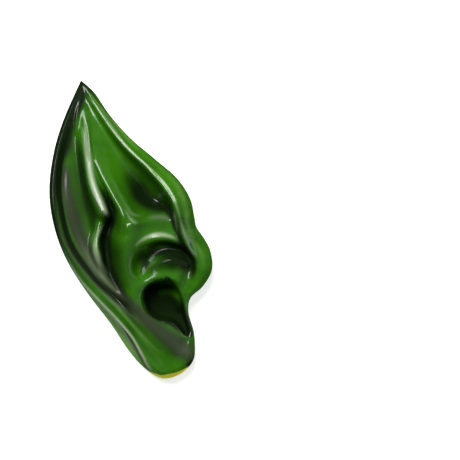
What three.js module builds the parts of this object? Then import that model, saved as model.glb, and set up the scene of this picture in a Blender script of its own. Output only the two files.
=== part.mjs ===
// A pointed elf ear that slips over a real one: one hollow casting of painted latex, lying on its trimmed edge.
// Millimetres. +X is the front of the ear (the face side), +Y its pointed tip, +Z the side that shows when worn.
import * as THREE from "three";
import { mergeVertices } from "three/addons/utils/BufferGeometryUtils.js";

// Driving dimensions
const EAR_LENGTH = 105; // lobe to pointed tip
const EAR_WIDTH = 57.2; // rear edge to the flap in front
const EAR_DEPTH = 26; // trimmed edge to the crest of the front rim
const WALL = 1.8; // thickness of the latex

// Fineness of the faceted skin
const SIDE_RAYS = 60; // from the tip to the lobe, on each side
const FRONT_RINGS = 25; // outer skin, from the spine out to the outline
const BACK_ROWS = 5; // outer skin, from the outline in to the trimmed edge
const INNER_ROWS = 4; // inner skin, from the trimmed edge out to the inner outline
const INNER_RINGS = 11; // inner skin, from the inner outline in to the spine
const SPAN_STEPS = 6; // straight steps in each span of a route

// How the forms blend
const CREST_FADE = 1.6; // how fast the rim's crest gives way to the relief inside it
const FLAT_TOP = 4; // the power that gives a band its flat top
const RING_CROWDING = 1.35; // over 1 sets the rings closer towards the outline
const ROW_CROWDING = 1.3; // over 1 sets the back's rows closer towards the outline
const FAR = 3; // a form is left out beyond this many of its widths
const LEAST_HOLLOW = 0.5; // least height of the hollow between the inner skins
const LEAST_FACING = 0.5; // limits the wall where a ray crosses the outline at a slant
const RAYS = 2 * SIDE_RAYS;

// In the tables "across" and "up" are shares of the width and the length, from the rear edge and from the lobe.
// Heights are shares of the depth, and all other lengths are shares of the width.
function table(columns, rows) {
  const names = columns.split(" ");
  return rows.map((row) => Object.fromEntries(names.map((name, column) => [name, row[column]])));
}

// The outline, from the tip down the rear, round the lobe and up the front to the tip again.
// edge: height of the outline. crest, inset: height of the rolled rim and how far in it lies. roll: its width.
// lip: how far behind the trimmed edge lies, as a share of the way in to the middle of the mouth.
// bag: the back's curve on that way, where 1 is straight and less bulges.
// solid: how many walls thick the casting is before the hollow starts.
// shape: 2 is an elliptic roll at the outline, more is squarer and 1 is a plain slope up to the crest.
const OUTLINE = table("across up edge crest inset roll lip bag solid shape", [
  [0.191, 1, 0.308, 0.331, 0.015, 0.035, 0.62, 0.9, 4.5, 2],
  [0.145, 0.945, 0.338, 0.431, 0.02, 0.038, 0.6, 0.76, 2.2, 1.9],
  [0.083, 0.864, 0.369, 0.546, 0.023, 0.042, 0.56, 0.62, 1.1, 1.8],
  [0.031, 0.77, 0.4, 0.662, 0.026, 0.04, 0.48, 0.56, 1, 1.8],
  [0, 0.642, 0.423, 0.762, 0.027, 0.04, 0.37, 0.55, 1, 1.8],
  [0.019, 0.534, 0.404, 0.815, 0.028, 0.04, 0.24, 0.6, 1, 1.8],
  [0.093, 0.412, 0.346, 0.815, 0.026, 0.043, 0.14, 0.72, 1, 1.7],
  [0.228, 0.291, 0.269, 0.738, 0.031, 0.049, 0.09, 0.85, 1, 1.5],
  [0.37, 0.188, 0.192, 0.631, 0.051, 0.052, 0.07, 0.85, 1, 1.3],
  [0.481, 0.097, 0.154, 0.523, 0.054, 0.052, 0.07, 0.85, 1, 1.3],
  [0.574, 0.04, 0.138, 0.435, 0.047, 0.056, 0.06, 0.85, 1, 1.5],
  [0.688, 0.002, 0.131, 0.365, 0.046, 0.07, 0.06, 0.85, 1, 1.9],
  [0.802, 0.018, 0.138, 0.365, 0.052, 0.07, 0.06, 0.85, 1, 2.2],
  [0.88, 0.064, 0.15, 0.385, 0.049, 0.07, 0.06, 0.85, 1, 2.2],
  [0.889, 0.118, 0.155, 0.385, 0.042, 0.059, 0.06, 0.85, 1, 2.2],
  [0.88, 0.165, 0.155, 0.331, 0.016, 0.021, 0.06, 0.85, 1, 2.2],
  [0.849, 0.225, 0.16, 0.346, 0.015, 0.021, 0.06, 0.85, 1, 2.2],
  [0.861, 0.271, 0.18, 0.404, 0.022, 0.037, 0.07, 0.85, 1, 2.2],
  [0.938, 0.311, 0.2, 0.442, 0.045, 0.07, 0.08, 0.85, 1, 2.2],
  [0.994, 0.366, 0.215, 0.481, 0.052, 0.087, 0.08, 0.85, 1, 2.2],
  [0.985, 0.43, 0.231, 0.492, 0.052, 0.087, 0.09, 0.85, 1, 2.2],
  [0.944, 0.474, 0.262, 0.538, 0.049, 0.07, 0.12, 0.8, 1, 2.2],
  [0.9, 0.509, 0.365, 0.673, 0.052, 0.063, 0.17, 0.7, 1, 2],
  [0.886, 0.548, 0.5, 0.846, 0.077, 0.059, 0.23, 0.6, 1, 1.8],
  [0.864, 0.602, 0.558, 0.904, 0.084, 0.056, 0.3, 0.55, 1, 1.8],
  [0.787, 0.669, 0.562, 0.838, 0.08, 0.049, 0.39, 0.55, 1, 1.8],
  [0.654, 0.733, 0.519, 0.746, 0.068, 0.043, 0.47, 0.55, 1, 1.8],
  [0.494, 0.807, 0.454, 0.631, 0.052, 0.034, 0.53, 0.56, 1, 1.8],
  [0.361, 0.889, 0.377, 0.5, 0.039, 0.031, 0.57, 0.62, 1.1, 1.8],
  [0.272, 0.96, 0.338, 0.408, 0.028, 0.031, 0.61, 0.76, 2.2, 1.9],
  [0.191, 1, 0.308, 0.331, 0.015, 0.035, 0.62, 0.9, 4.5, 2],
]);
const LOBE_ROW = 11; // the outline's lowest row

// The middle line that the rings close on, from the tip to the lobe, and the middle of the mouth behind
const SPINE = table("across up", [
  [0.262, 0.8],
  [0.3, 0.7],
  [0.377, 0.585],
  [0.463, 0.45],
  [0.54, 0.316],
  [0.61, 0.18],
  [0.66, 0.095],
]);
const MOUTH = { across: 0.6, up: 0.292 };

// The broad swell under the folds: heights at even steps across, a row for each level up the ear
const SWELL_ACROSS = [0, 0.25, 0.5, 0.75, 1];
const SWELL = table("up heights", [
  [0, [0.269, 0.308, 0.327, 0.346, 0.327]],
  [0.15, [0.462, 0.538, 0.519, 0.442, 0.346]],
  [0.3, [0.692, 0.654, 0.577, 0.423, 0.385]],
  [0.45, [0.75, 0.65, 0.72, 0.68, 0.462]],
  [0.6, [0.712, 0.596, 0.615, 0.56, 0.654]],
  [0.75, [0.577, 0.519, 0.55, 0.56, 0.654]],
  [0.9, [0.423, 0.404, 0.404, 0.385, 0.385]],
  [1, [0.346, 0.346, 0.346, 0.346, 0.346]],
]);

// Ridges and grooves that are added to the swell. Each is a route with its height and the widths of its two
// sides, to the right and to the left of someone who walks it from its first row.
const FOLD_COLUMNS = "across up height right left";
const FOLDS = {
  ridge: table(FOLD_COLUMNS, [
    [0.204, 0.924, 0, 0.037, 0.043],
    [0.219, 0.877, 0.023, 0.028, 0.062],
    [0.244, 0.83, 0.038, 0.02, 0.074],
    [0.265, 0.756, 0.062, 0.021, 0.074],
    [0.315, 0.686, 0.088, 0.022, 0.068],
    [0.37, 0.625, 0.115, 0.025, 0.062],
    [0.423, 0.571, 0.131, 0.031, 0.065],
    [0.463, 0.531, 0.108, 0.049, 0.068],
    [0.5, 0.491, 0.038, 0.068, 0.068],
  ]),
  scapha: table(FOLD_COLUMNS, [
    [0.142, 0.844, 0, 0.062, 0.031],
    [0.16, 0.77, -0.035, 0.062, 0.031],
    [0.176, 0.696, -0.062, 0.068, 0.032],
    [0.194, 0.618, -0.081, 0.074, 0.037],
    [0.228, 0.541, -0.096, 0.086, 0.043],
    [0.256, 0.481, -0.108, 0.086, 0.037],
    [0.272, 0.434, -0.108, 0.08, 0.031],
    [0.302, 0.387, -0.1, 0.068, 0.031],
    [0.364, 0.336, -0.077, 0.056, 0.037],
    [0.438, 0.286, -0.046, 0.049, 0.037],
    [0.525, 0.239, 0, 0.049, 0.049],
  ]),
  fork: table(FOLD_COLUMNS, [
    [0.253, 0.77, 0, 0.01, 0.01],
    [0.275, 0.716, -0.01, 0.011, 0.011],
    [0.306, 0.669, -0.027, 0.015, 0.015],
    [0.338, 0.629, -0.077, 0.019, 0.019],
    [0.369, 0.592, -0.108, 0.021, 0.023],
    [0.392, 0.558, -0.127, 0.025, 0.031],
    [0.386, 0.521, -0.115, 0.03, 0.034],
    [0.364, 0.481, 0, 0.031, 0.031],
  ]),
  thirdLine: table(FOLD_COLUMNS, [
    [0.34, 0.736, 0, 0.025, 0.025],
    [0.383, 0.679, 0.012, 0.025, 0.028],
    [0.429, 0.635, 0.019, 0.025, 0.028],
    [0.472, 0.595, 0.023, 0.025, 0.028],
    [0.512, 0.558, 0.023, 0.025, 0.025],
    [0.562, 0.538, 0, 0.025, 0.025],
  ]),
  groovePit: table(FOLD_COLUMNS, [
    [0.377, 0.548, 0, 0.031, 0.031],
    [0.367, 0.508, -0.154, 0.037, 0.043],
    [0.349, 0.45, -0.231, 0.04, 0.049],
    [0.361, 0.393, -0.2, 0.037, 0.049],
    [0.407, 0.333, -0.092, 0.037, 0.043],
    [0.481, 0.272, 0, 0.037, 0.037],
  ]),
  lowerCrus: table(FOLD_COLUMNS, [
    [0.488, 0.514, 0.038, 0.049, 0.037],
    [0.556, 0.529, 0.085, 0.043, 0.031],
    [0.623, 0.534, 0.092, 0.049, 0.031],
    [0.691, 0.533, 0.069, 0.049, 0.028],
    [0.759, 0.524, 0.023, 0.037, 0.028],
  ]),
  fossa: table(FOLD_COLUMNS, [
    [0.29, 0.884, 0, 0.049, 0.049],
    [0.34, 0.824, -0.027, 0.056, 0.056],
    [0.401, 0.77, -0.069, 0.062, 0.068],
    [0.463, 0.723, -0.108, 0.074, 0.074],
    [0.525, 0.676, -0.154, 0.074, 0.074],
    [0.586, 0.629, -0.262, 0.068, 0.068],
    [0.654, 0.598, -0.269, 0.056, 0.056],
    [0.722, 0.585, -0.192, 0.037, 0.037],
  ]),
  antihelix: table(FOLD_COLUMNS, [
    [0.512, 0.511, 0.062, 0.074, 0.074],
    [0.463, 0.45, 0.131, 0.062, 0.068],
    [0.457, 0.387, 0.127, 0.056, 0.068],
    [0.494, 0.313, 0.092, 0.062, 0.056],
    [0.568, 0.249, 0.054, 0.056, 0.037],
    [0.673, 0.198, 0.031, 0.049, 0.031],
  ]),
  rearGroove: table(FOLD_COLUMNS, [
    [0.074, 0.803, 0, 0.015, 0.031],
    [0.074, 0.719, -0.038, 0.015, 0.037],
    [0.077, 0.635, -0.05, 0.015, 0.037],
    [0.093, 0.558, -0.062, 0.015, 0.037],
    [0.12, 0.494, -0.069, 0.015, 0.037],
    [0.167, 0.437, -0.073, 0.015, 0.037],
    [0.228, 0.383, -0.073, 0.015, 0.031],
    [0.296, 0.336, -0.069, 0.015, 0.025],
    [0.377, 0.289, -0.05, 0.015, 0.025],
    [0.463, 0.245, -0.027, 0.019, 0.025],
    [0.568, 0.195, 0, 0.019, 0.031],
  ]),
  rearWelt: table(FOLD_COLUMNS, [
    [0.043, 0.77, 0, 0.015, 0.012],
    [0.04, 0.669, 0.027, 0.015, 0.012],
    [0.059, 0.561, 0.035, 0.015, 0.012],
    [0.093, 0.494, 0.038, 0.016, 0.012],
    [0.142, 0.43, 0.042, 0.016, 0.012],
    [0.21, 0.37, 0.042, 0.016, 0.014],
    [0.29, 0.316, 0.042, 0.017, 0.015],
    [0.383, 0.269, 0.038, 0.019, 0.019],
    [0.488, 0.218, 0.027, 0.021, 0.021],
    [0.611, 0.158, 0, 0.025, 0.025],
  ]),
  outerBand: table(FOLD_COLUMNS, [
    [0.278, 0.36, 0, 0.031, 0.031],
    [0.377, 0.313, 0.031, 0.031, 0.031],
    [0.475, 0.259, 0.05, 0.043, 0.043],
    [0.599, 0.192, 0.062, 0.056, 0.056],
    [0.747, 0.121, 0.054, 0.062, 0.056],
    [0.846, 0.077, 0, 0.056, 0.056],
  ]),
  lobeFurrow: table(FOLD_COLUMNS, [
    [0.253, 0.339, 0, 0.022, 0.022],
    [0.346, 0.286, -0.031, 0.025, 0.025],
    [0.451, 0.222, -0.046, 0.028, 0.028],
    [0.556, 0.145, -0.046, 0.034, 0.034],
    [0.66, 0.077, -0.023, 0.04, 0.04],
    [0.722, 0.037, 0, 0.04, 0.04],
  ]),
  tipFold: table(FOLD_COLUMNS, [
    [0.21, 0.975, 0, 0.012, 0.012],
    [0.196, 0.951, 0.023, 0.014, 0.014],
    [0.181, 0.921, 0.042, 0.014, 0.014],
    [0.169, 0.887, 0.054, 0.014, 0.014],
    [0.164, 0.854, 0.042, 0.015, 0.015],
    [0.164, 0.813, 0, 0.016, 0.016],
  ]),
};

// Welts with a flat top, with the columns of a fold
const BANDS = {
  rearBand: table(FOLD_COLUMNS, [
    [0.201, 0.931, 0, 0.031, 0.025],
    [0.207, 0.887, 0.023, 0.034, 0.034],
    [0.216, 0.84, 0.042, 0.04, 0.037],
    [0.223, 0.78, 0.058, 0.046, 0.034],
    [0.235, 0.726, 0.073, 0.049, 0.034],
    [0.257, 0.669, 0.092, 0.052, 0.037],
    [0.29, 0.622, 0.115, 0.056, 0.04],
    [0.323, 0.582, 0.138, 0.052, 0.04],
    [0.346, 0.555, 0.138, 0.049, 0.034],
    [0.364, 0.524, 0, 0.031, 0.025],
  ]),
  scaphaLip: table(FOLD_COLUMNS, [
    [0.34, 0.534, 0, 0.028, 0.028],
    [0.309, 0.501, 0.058, 0.031, 0.028],
    [0.285, 0.467, 0.115, 0.031, 0.031],
    [0.287, 0.434, 0.162, 0.034, 0.037],
    [0.309, 0.4, 0.108, 0.034, 0.037],
    [0.346, 0.36, 0, 0.031, 0.031],
  ]),
};

// Creases and beads that follow the rim itself, with the columns of a fold
const RIM_FOLDS = {
  bowlBead: table(FOLD_COLUMNS, [
    [0.506, 0.413, 0, 0.031, 0.031],
    [0.54, 0.44, 0.008, 0.025, 0.034],
    [0.583, 0.459, 0.015, 0.022, 0.034],
    [0.63, 0.467, 0.023, 0.02, 0.034],
    [0.685, 0.471, 0.033, 0.019, 0.034],
    [0.741, 0.466, 0.044, 0.02, 0.031],
    [0.784, 0.454, 0.031, 0.022, 0.031],
    [0.815, 0.437, 0, 0.025, 0.031],
  ]),
  innerCrest: table(FOLD_COLUMNS, [
    [0.586, 0.703, 0, 0.015, 0.015],
    [0.63, 0.679, 0.023, 0.014, 0.015],
    [0.667, 0.655, 0.031, 0.014, 0.015],
    [0.704, 0.625, 0.027, 0.014, 0.015],
    [0.728, 0.598, 0, 0.015, 0.015],
  ]),
  frontCrease: table(FOLD_COLUMNS, [
    [0.222, 0.978, 0, 0.009, 0.009],
    [0.259, 0.951, -0.013, 0.01, 0.01],
    [0.309, 0.914, -0.019, 0.01, 0.01],
    [0.352, 0.881, -0.019, 0.01, 0.01],
    [0.401, 0.844, -0.015, 0.011, 0.011],
    [0.451, 0.81, 0, 0.012, 0.012],
  ]),
};

// Hollows: the skin sinks to their floor inside their radius, through an edge of the given softness
const HOLLOW_COLUMNS = "across up floor radius softness";
const HOLLOWS = {
  concha: table(HOLLOW_COLUMNS, [
    [0.623, 0.38, 0.508, 0.093, 0.049],
    [0.685, 0.393, 0.485, 0.114, 0.031],
    [0.753, 0.397, 0.462, 0.108, 0.031],
    [0.802, 0.393, 0.442, 0.09, 0.031],
  ]),
  canal: table(HOLLOW_COLUMNS, [
    [0.691, 0.269, 0.138, 0.108, 0.028],
    [0.738, 0.245, 0.123, 0.093, 0.025],
    [0.785, 0.215, 0.131, 0.047, 0.019],
    [0.817, 0.185, 0.154, 0.028, 0.015],
    [0.84, 0.16, 0.192, 0.019, 0.014],
  ]),
};

// What stands or sinks on the floor of the hollows, with the columns of a fold
const FLOOR_FORMS = {
  lump: table(FOLD_COLUMNS, [
    [0.611, 0.356, 0.031, 0.049, 0.043],
    [0.66, 0.378, 0.077, 0.056, 0.052],
    [0.722, 0.393, 0.123, 0.062, 0.056],
    [0.784, 0.398, 0.123, 0.062, 0.049],
    [0.84, 0.393, 0.054, 0.043, 0.037],
  ]),
  shelf: table(FOLD_COLUMNS, [
    [0.574, 0.313, 0.054, 0.043, 0.043],
    [0.642, 0.334, 0.077, 0.043, 0.043],
    [0.722, 0.341, 0.077, 0.043, 0.037],
    [0.79, 0.331, 0.069, 0.037, 0.037],
  ]),
  pit: table(FOLD_COLUMNS, [
    [0.846, 0.424, -0.058, 0.031, 0.025],
    [0.877, 0.393, -0.085, 0.028, 0.025],
    [0.864, 0.363, -0.069, 0.025, 0.025],
    [0.827, 0.336, 0, 0.025, 0.025],
  ]),
  canalSlope: table(FOLD_COLUMNS, [
    [0.735, 0.306, 0, 0.049, 0.049],
    [0.79, 0.279, 0.138, 0.049, 0.037],
    [0.799, 0.249, 0.115, 0.043, 0.031],
    [0.778, 0.222, 0, 0.037, 0.037],
  ]),
};

// The front rim's crest, which the skin rises to from both sides, with the columns of a fold
const FRONT_CREST = table(FOLD_COLUMNS, [
  [0.265, 0.928, 0.419, 0.015, 0.015],
  [0.327, 0.877, 0.488, 0.016, 0.019],
  [0.389, 0.83, 0.569, 0.019, 0.025],
  [0.463, 0.782, 0.662, 0.02, 0.031],
  [0.537, 0.745, 0.738, 0.021, 0.04],
  [0.611, 0.711, 0.792, 0.022, 0.046],
  [0.667, 0.682, 0.846, 0.023, 0.049],
  [0.716, 0.645, 0.904, 0.025, 0.049],
  [0.759, 0.605, 0.962, 0.025, 0.046],
  [0.79, 0.565, 0.992, 0.025, 0.043],
  [0.809, 0.524, 0.962, 0.025, 0.037],
  [0.83, 0.481, 0.885, 0.025, 0.034],
  [0.858, 0.44, 0.769, 0.025, 0.031],
  [0.901, 0.407, 0.654, 0.028, 0.031],
  [0.917, 0.363, 0.554, 0.031, 0.031],
  [0.889, 0.319, 0.469, 0.037, 0.037],
]);

// A row of a table in millimetres
const HEIGHTS = ["height", "floor", "edge", "crest"];
const PLAIN = ["lip", "bag", "solid", "shape"];
function sized(row) {
  const point = { x: (row.across - 0.5) * EAR_WIDTH, y: (row.up - 0.5) * EAR_LENGTH };
  for (const [name, share] of Object.entries(row)) {
    if (name === "across" || name === "up") continue;
    point[name] = HEIGHTS.includes(name) ? share * EAR_DEPTH : share * EAR_WIDTH;
    if (PLAIN.includes(name)) point[name] = share;
  }
  return point;
}

const gap = (a, b) => Math.hypot(b.x - a.x, b.y - a.y);
const mix = (a, b, share) => a + (b - a) * share;

function blend(a, b, share) {
  return Object.fromEntries(Object.keys(a).map((name) => [name, mix(a[name], b[name], share)]));
}

// A smooth route through the rows of a table: a centripetal Catmull-Rom spline in every column
function route(rows, steps = SPAN_STEPS) {
  const points = rows.map(sized);
  const ends = [blend(points[0], points[1], -1), blend(points.at(-1), points.at(-2), -1)];
  const all = [ends[0], ...points, ends[1]];
  const knots = all.slice(1).map((point, i) => Math.sqrt(gap(all[i], point)));
  const line = [];
  for (let i = 1; i < all.length - 2; i++) {
    for (let step = 0; step < steps; step++) {
      line.push(splinePoint(all.slice(i - 1, i + 3), knots.slice(i - 1, i + 2), step / steps));
    }
  }
  line.push(points.at(-1));
  return line;
}

function splinePoint([before, from, to, after], [first, span, last], t) {
  const point = {};
  for (const name of Object.keys(from)) {
    const [p0, p1, p2, p3] = [before[name], from[name], to[name], after[name]];
    const leave = span * ((p1 - p0) / first - (p2 - p0) / (first + span) + (p2 - p1) / span);
    const arrive = span * ((p2 - p1) / span - (p3 - p1) / (span + last) + (p3 - p2) / last);
    const square = 3 * (p2 - p1) - 2 * leave - arrive;
    const cube = 2 * (p1 - p2) + leave + arrive;
    point[name] = p1 + leave * t + square * t ** 2 + cube * t ** 3;
  }
  return point;
}

// The given number of equal lengths along a line
function evenly(line, count) {
  const runs = [0];
  for (let i = 1; i < line.length; i++) runs.push(runs[i - 1] + gap(line[i - 1], line[i]));
  return Array.from({ length: count + 1 }, (_, i) => atRun(line, runs, i / count));
}

function atRun(line, runs, share) {
  const want = share * runs.at(-1);
  const found = runs.findIndex((run) => run >= want);
  const i = Math.max(found < 0 ? line.length - 1 : found, 1);
  return blend(line[i - 1], line[i], (want - runs[i - 1]) / (runs[i] - runs[i - 1]));
}

// The nearest point of a line with its columns, its distance, and which side of the line the place is on
function nearest(line, x, y) {
  let best = { square: Infinity };
  for (let i = 1; i < line.length; i++) {
    const [a, b] = [line[i - 1], line[i]];
    const [dx, dy, px, py] = [b.x - a.x, b.y - a.y, x - a.x, y - a.y];
    const along = THREE.MathUtils.clamp((px * dx + py * dy) / (dx * dx + dy * dy), 0, 1);
    const square = (px - along * dx) ** 2 + (py - along * dy) ** 2;
    if (square < best.square) best = { square, i, along, onLeft: dx * py - dy * px > 0 };
  }
  const row = blend(line[best.i - 1], line[best.i], best.along);
  return { ...row, distance: Math.sqrt(best.square), onLeft: best.onLeft };
}

// A form's route with the box outside which it is left out
function form(rows) {
  const line = route(rows);
  const reach = FAR * Math.max(...line.map((row) => Math.max(row.left ?? row.radius, row.right ?? row.radius)));
  const box = new THREE.Box2();
  for (const row of line) box.expandByPoint(new THREE.Vector2(row.x, row.y));
  return { line, box: box.expandByScalar(reach) };
}

const place = new THREE.Vector2();
function formAt({ line, box }, x, y) {
  return box.containsPoint(place.set(x, y)) ? nearest(line, x, y) : null;
}

const RIM = route(OUTLINE);
const SPINE_LINE = route(SPINE);
const MOUTH_MIDDLE = sized(MOUTH);
const FOLD_FORMS = Object.values(FOLDS).map(form);
const BAND_FORMS = Object.values(BANDS).map(form);
const RIM_FORMS = Object.values(RIM_FOLDS).map(form);
const HOLLOW_FORMS = Object.values(HOLLOWS).map(form);
const LATE_FORMS = Object.values(FLOOR_FORMS).map(form);
const CREST_FORM = form(FRONT_CREST);

// A uniform Catmull-Rom spline through values at the given stations
function through(stations, values, at) {
  const last = stations.length - 1;
  const place = THREE.MathUtils.clamp(at, stations[0], stations[last]);
  const i = Math.min(Math.max(stations.findIndex((station) => station > place) - 1, 0), last - 1);
  const from = place >= stations[last] ? last - 1 : i;
  const t = (place - stations[from]) / (stations[from + 1] - stations[from]);
  const value = (k) => values[THREE.MathUtils.clamp(k, 0, last)];
  const [p0, p1, p2, p3] = [value(from - 1), value(from), value(from + 1), value(from + 2)];
  const square = 2 * p0 - 5 * p1 + 4 * p2 - p3;
  return p1 + 0.5 * t * (p2 - p0 + t * (square + t * (3 * (p1 - p2) + p3 - p0)));
}

const SWELL_UP = SWELL.map((row) => row.up);
function swell(x, y) {
  const across = x / EAR_WIDTH + 0.5;
  const up = y / EAR_LENGTH + 0.5;
  return EAR_DEPTH * through(SWELL_UP, SWELL.map((row) => through(SWELL_ACROSS, row.heights, across)), up);
}

// 1 on a route, falling off to both sides with their own widths. A higher power has a flatter top.
function bell(at, power = 2) {
  return Math.exp(-((at.distance / (at.onLeft ? at.left : at.right)) ** power));
}

// Height of the outer skin's front inside the rim
function relief(x, y) {
  let z = swell(x, y);
  for (const fold of FOLD_FORMS) {
    const at = formAt(fold, x, y);
    if (at) z += at.height * bell(at);
  }
  for (const band of BAND_FORMS) {
    const at = formAt(band, x, y);
    if (at) z += at.height * bell(at, FLAT_TOP);
  }
  for (const hollow of HOLLOW_FORMS) {
    const at = formAt(hollow, x, y);
    if (at) z = mix(z, at.floor, 1 / (1 + Math.exp((4 * (at.distance - at.radius)) / at.softness)));
  }
  for (const part of LATE_FORMS) {
    const at = formAt(part, x, y);
    if (at) z += at.height * bell(at);
  }
  const crest = formAt(CREST_FORM, x, y);
  return crest ? mix(z, crest.height, bell(crest)) : z;
}

// Height of the outer skin's front: the relief, blended into the rolled rim that ends at the outline
function front(x, y) {
  const rim = nearest(RIM, x, y);
  const past = Math.max(rim.distance - rim.inset, 0) / rim.roll;
  let z = mix(relief(x, y), rim.crest, Math.exp(-CREST_FADE * past ** 2));
  for (const fold of RIM_FORMS) {
    const at = formAt(fold, x, y);
    if (at) z += at.height * bell(at);
  }
  const climb = Math.min(rim.distance / rim.inset, 1);
  return mix(rim.edge, z, (1 - (1 - climb) ** rim.shape) ** (1 / rim.shape));
}

// Directions from the middle of a ball to points on its upper half
const BALL = [[0, 0, 1]];
for (const reach of [0.45, 0.8, 0.98]) {
  for (let step = 0; step < 12; step++) {
    const turn = (step / 12) * 2 * Math.PI;
    BALL.push([reach * Math.cos(turn), reach * Math.sin(turn), Math.sqrt(1 - reach ** 2)]);
  }
}

// Height of the inner skin's front: the lowest that keeps a ball as big as the wall inside the latex
function underFront(x, y) {
  return Math.min(...BALL.map(([dx, dy, dz]) => front(x + dx * WALL, y + dy * WALL) - dz * WALL));
}

// The outline's points, the first at the tip and the middle one at the lobe
function outlinePoints() {
  const turn = LOBE_ROW * SPAN_STEPS;
  const rear = evenly(RIM.slice(0, turn + 1), SIDE_RAYS);
  const fore = evenly(RIM.slice(turn), SIDE_RAYS);
  return [...rear.slice(0, -1), ...fore.slice(0, -1)];
}

// For each point of the outline, the point of the spine that its ray starts from
function spinePoints() {
  const places = Array.from({ length: SIDE_RAYS + 1 }, (_, i) => 0.5 - 0.5 * Math.cos((i / RAYS) * 2 * Math.PI));
  const runs = [0];
  for (let i = 1; i < SPINE_LINE.length; i++) runs.push(runs[i - 1] + gap(SPINE_LINE[i - 1], SPINE_LINE[i]));
  const points = places.map((share) => atRun(SPINE_LINE, runs, share));
  return Array.from({ length: RAYS }, (_, i) => points[Math.min(i, RAYS - i)]);
}

// The back along one ray, from the outline in towards the middle of the mouth
function backRay(point, i, outline) {
  const [ahead, behind] = [outline[(i + 1) % RAYS], outline[(i + RAYS - 1) % RAYS]];
  const length = gap(point, MOUTH_MIDDLE);
  const way = { x: (MOUTH_MIDDLE.x - point.x) / length, y: (MOUTH_MIDDLE.y - point.y) / length };
  const slant = Math.abs(way.x * (ahead.y - behind.y) - way.y * (ahead.x - behind.x)) / gap(ahead, behind);
  const wall = WALL / Math.max(slant, LEAST_FACING);
  const lip = point.lip * length;
  const height = (along) => point.edge * (1 - THREE.MathUtils.clamp(along / lip, 0, 1) ** point.bag);
  const over = (along) => {
    const tries = Array.from({ length: 25 }, (_, k) => k / 12 - 1).filter((k) => along + k * wall <= lip);
    return Math.max(...tries.map((k) => height(along + k * wall) + WALL * Math.sqrt(1 - k * k)));
  };
  const slope = Math.atan2(point.edge * point.bag, lip);
  const upright = THREE.MathUtils.smoothstep(slope, 0.6, 1);
  const trim = { along: lip + wall * Math.sin(slope), z: WALL * Math.cos(slope) * (1 - upright) };
  const at = (along) => ({ x: point.x + way.x * along, y: point.y + way.y * along });
  return { lip, height, over, trim, start: wall * point.solid, at };
}

// One closed skin as rings of points: the front from the spine out, the back in to the trimmed edge, and the
// inner skin the same way back to the spine
function rings() {
  const outline = outlinePoints();
  const spine = spinePoints();
  const rays = outline.map(backRay);
  const all = [];
  for (let ring = 0; ring <= FRONT_RINGS; ring++) {
    const share = 1 - (1 - ring / FRONT_RINGS) ** RING_CROWDING;
    all.push(outline.map((point, i) => {
      const [x, y] = [mix(spine[i].x, point.x, share), mix(spine[i].y, point.y, share)];
      return [x, y, ring === FRONT_RINGS ? point.edge : front(x, y)];
    }));
  }
  for (let row = 1; row <= BACK_ROWS; row++) {
    all.push(rays.map((ray) => {
      const along = ray.lip * (row / BACK_ROWS) ** ROW_CROWDING;
      const { x, y } = ray.at(along);
      return [x, y, ray.height(along)];
    }));
  }
  for (let row = INNER_ROWS; row > 0; row--) {
    all.push(rays.map((ray) => {
      const along = mix(ray.start, ray.trim.along, (row / INNER_ROWS) ** ROW_CROWDING);
      const { x, y } = ray.at(along);
      const z = row === INNER_ROWS ? ray.trim.z : Math.min(ray.over(along), underFront(x, y) - LEAST_HOLLOW);
      return [x, y, z];
    }));
  }
  for (let ring = INNER_RINGS; ring >= 0; ring--) {
    const share = 1 - (1 - ring / INNER_RINGS) ** RING_CROWDING;
    all.push(rays.map((ray, i) => {
      const start = ray.at(ray.start);
      const [x, y] = [mix(spine[i].x, start.x, share), mix(spine[i].y, start.y, share)];
      const under = underFront(x, y);
      return [x, y, ring === INNER_RINGS ? (under + ray.over(ray.start)) / 2 : under];
    }));
  }
  return all;
}

// The skin that joins neighbouring rings, each four-sided patch cut along its shorter diagonal
function skin(all) {
  const points = all.flat().map((point) => new THREE.Vector3(...point));
  const faces = [];
  const corner = (ring, i) => ring * RAYS + (i % RAYS);
  for (let ring = 0; ring < all.length - 1; ring++) {
    for (let i = 0; i < RAYS; i++) {
      const [a, b] = [corner(ring, i), corner(ring + 1, i)];
      const [c, d] = [corner(ring + 1, i + 1), corner(ring, i + 1)];
      const first = points[a].distanceTo(points[c]) <= points[b].distanceTo(points[d]);
      faces.push(...(first ? [[a, b, c], [a, c, d]] : [[a, b, d], [b, c, d]]));
    }
  }
  return closed(points, faces);
}

// A mesh centred on its box and standing on the floor, its doubled points merged and its empty faces dropped
function closed(points, faces) {
  const geometry = new THREE.BufferGeometry().setFromPoints(points);
  geometry.setIndex(faces.flat());
  const merged = mergeVertices(geometry, 1e-4);
  const kept = [];
  const corners = merged.index.array;
  for (let i = 0; i < corners.length; i += 3) {
    const [a, b, c] = corners.slice(i, i + 3);
    if (a !== b && b !== c && c !== a) kept.push(a, b, c);
  }
  merged.setIndex(kept);
  merged.computeBoundingBox();
  const { min, max } = merged.boundingBox;
  return merged.translate(-(min.x + max.x) / 2, -(min.y + max.y) / 2, -min.z);
}

const latex = new THREE.MeshStandardMaterial({ color: 0x2f5c14, roughness: 0.35, metalness: 0 });
const earShell = new THREE.Mesh(skin(rings()), latex);
earShell.name = "ear_shell";

const ear = new THREE.Group();
ear.add(earShell);

export default ear;
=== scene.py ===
"""A pointed elf ear that slips over a real one: a hollow casting of painted latex on a pale floor."""

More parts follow.
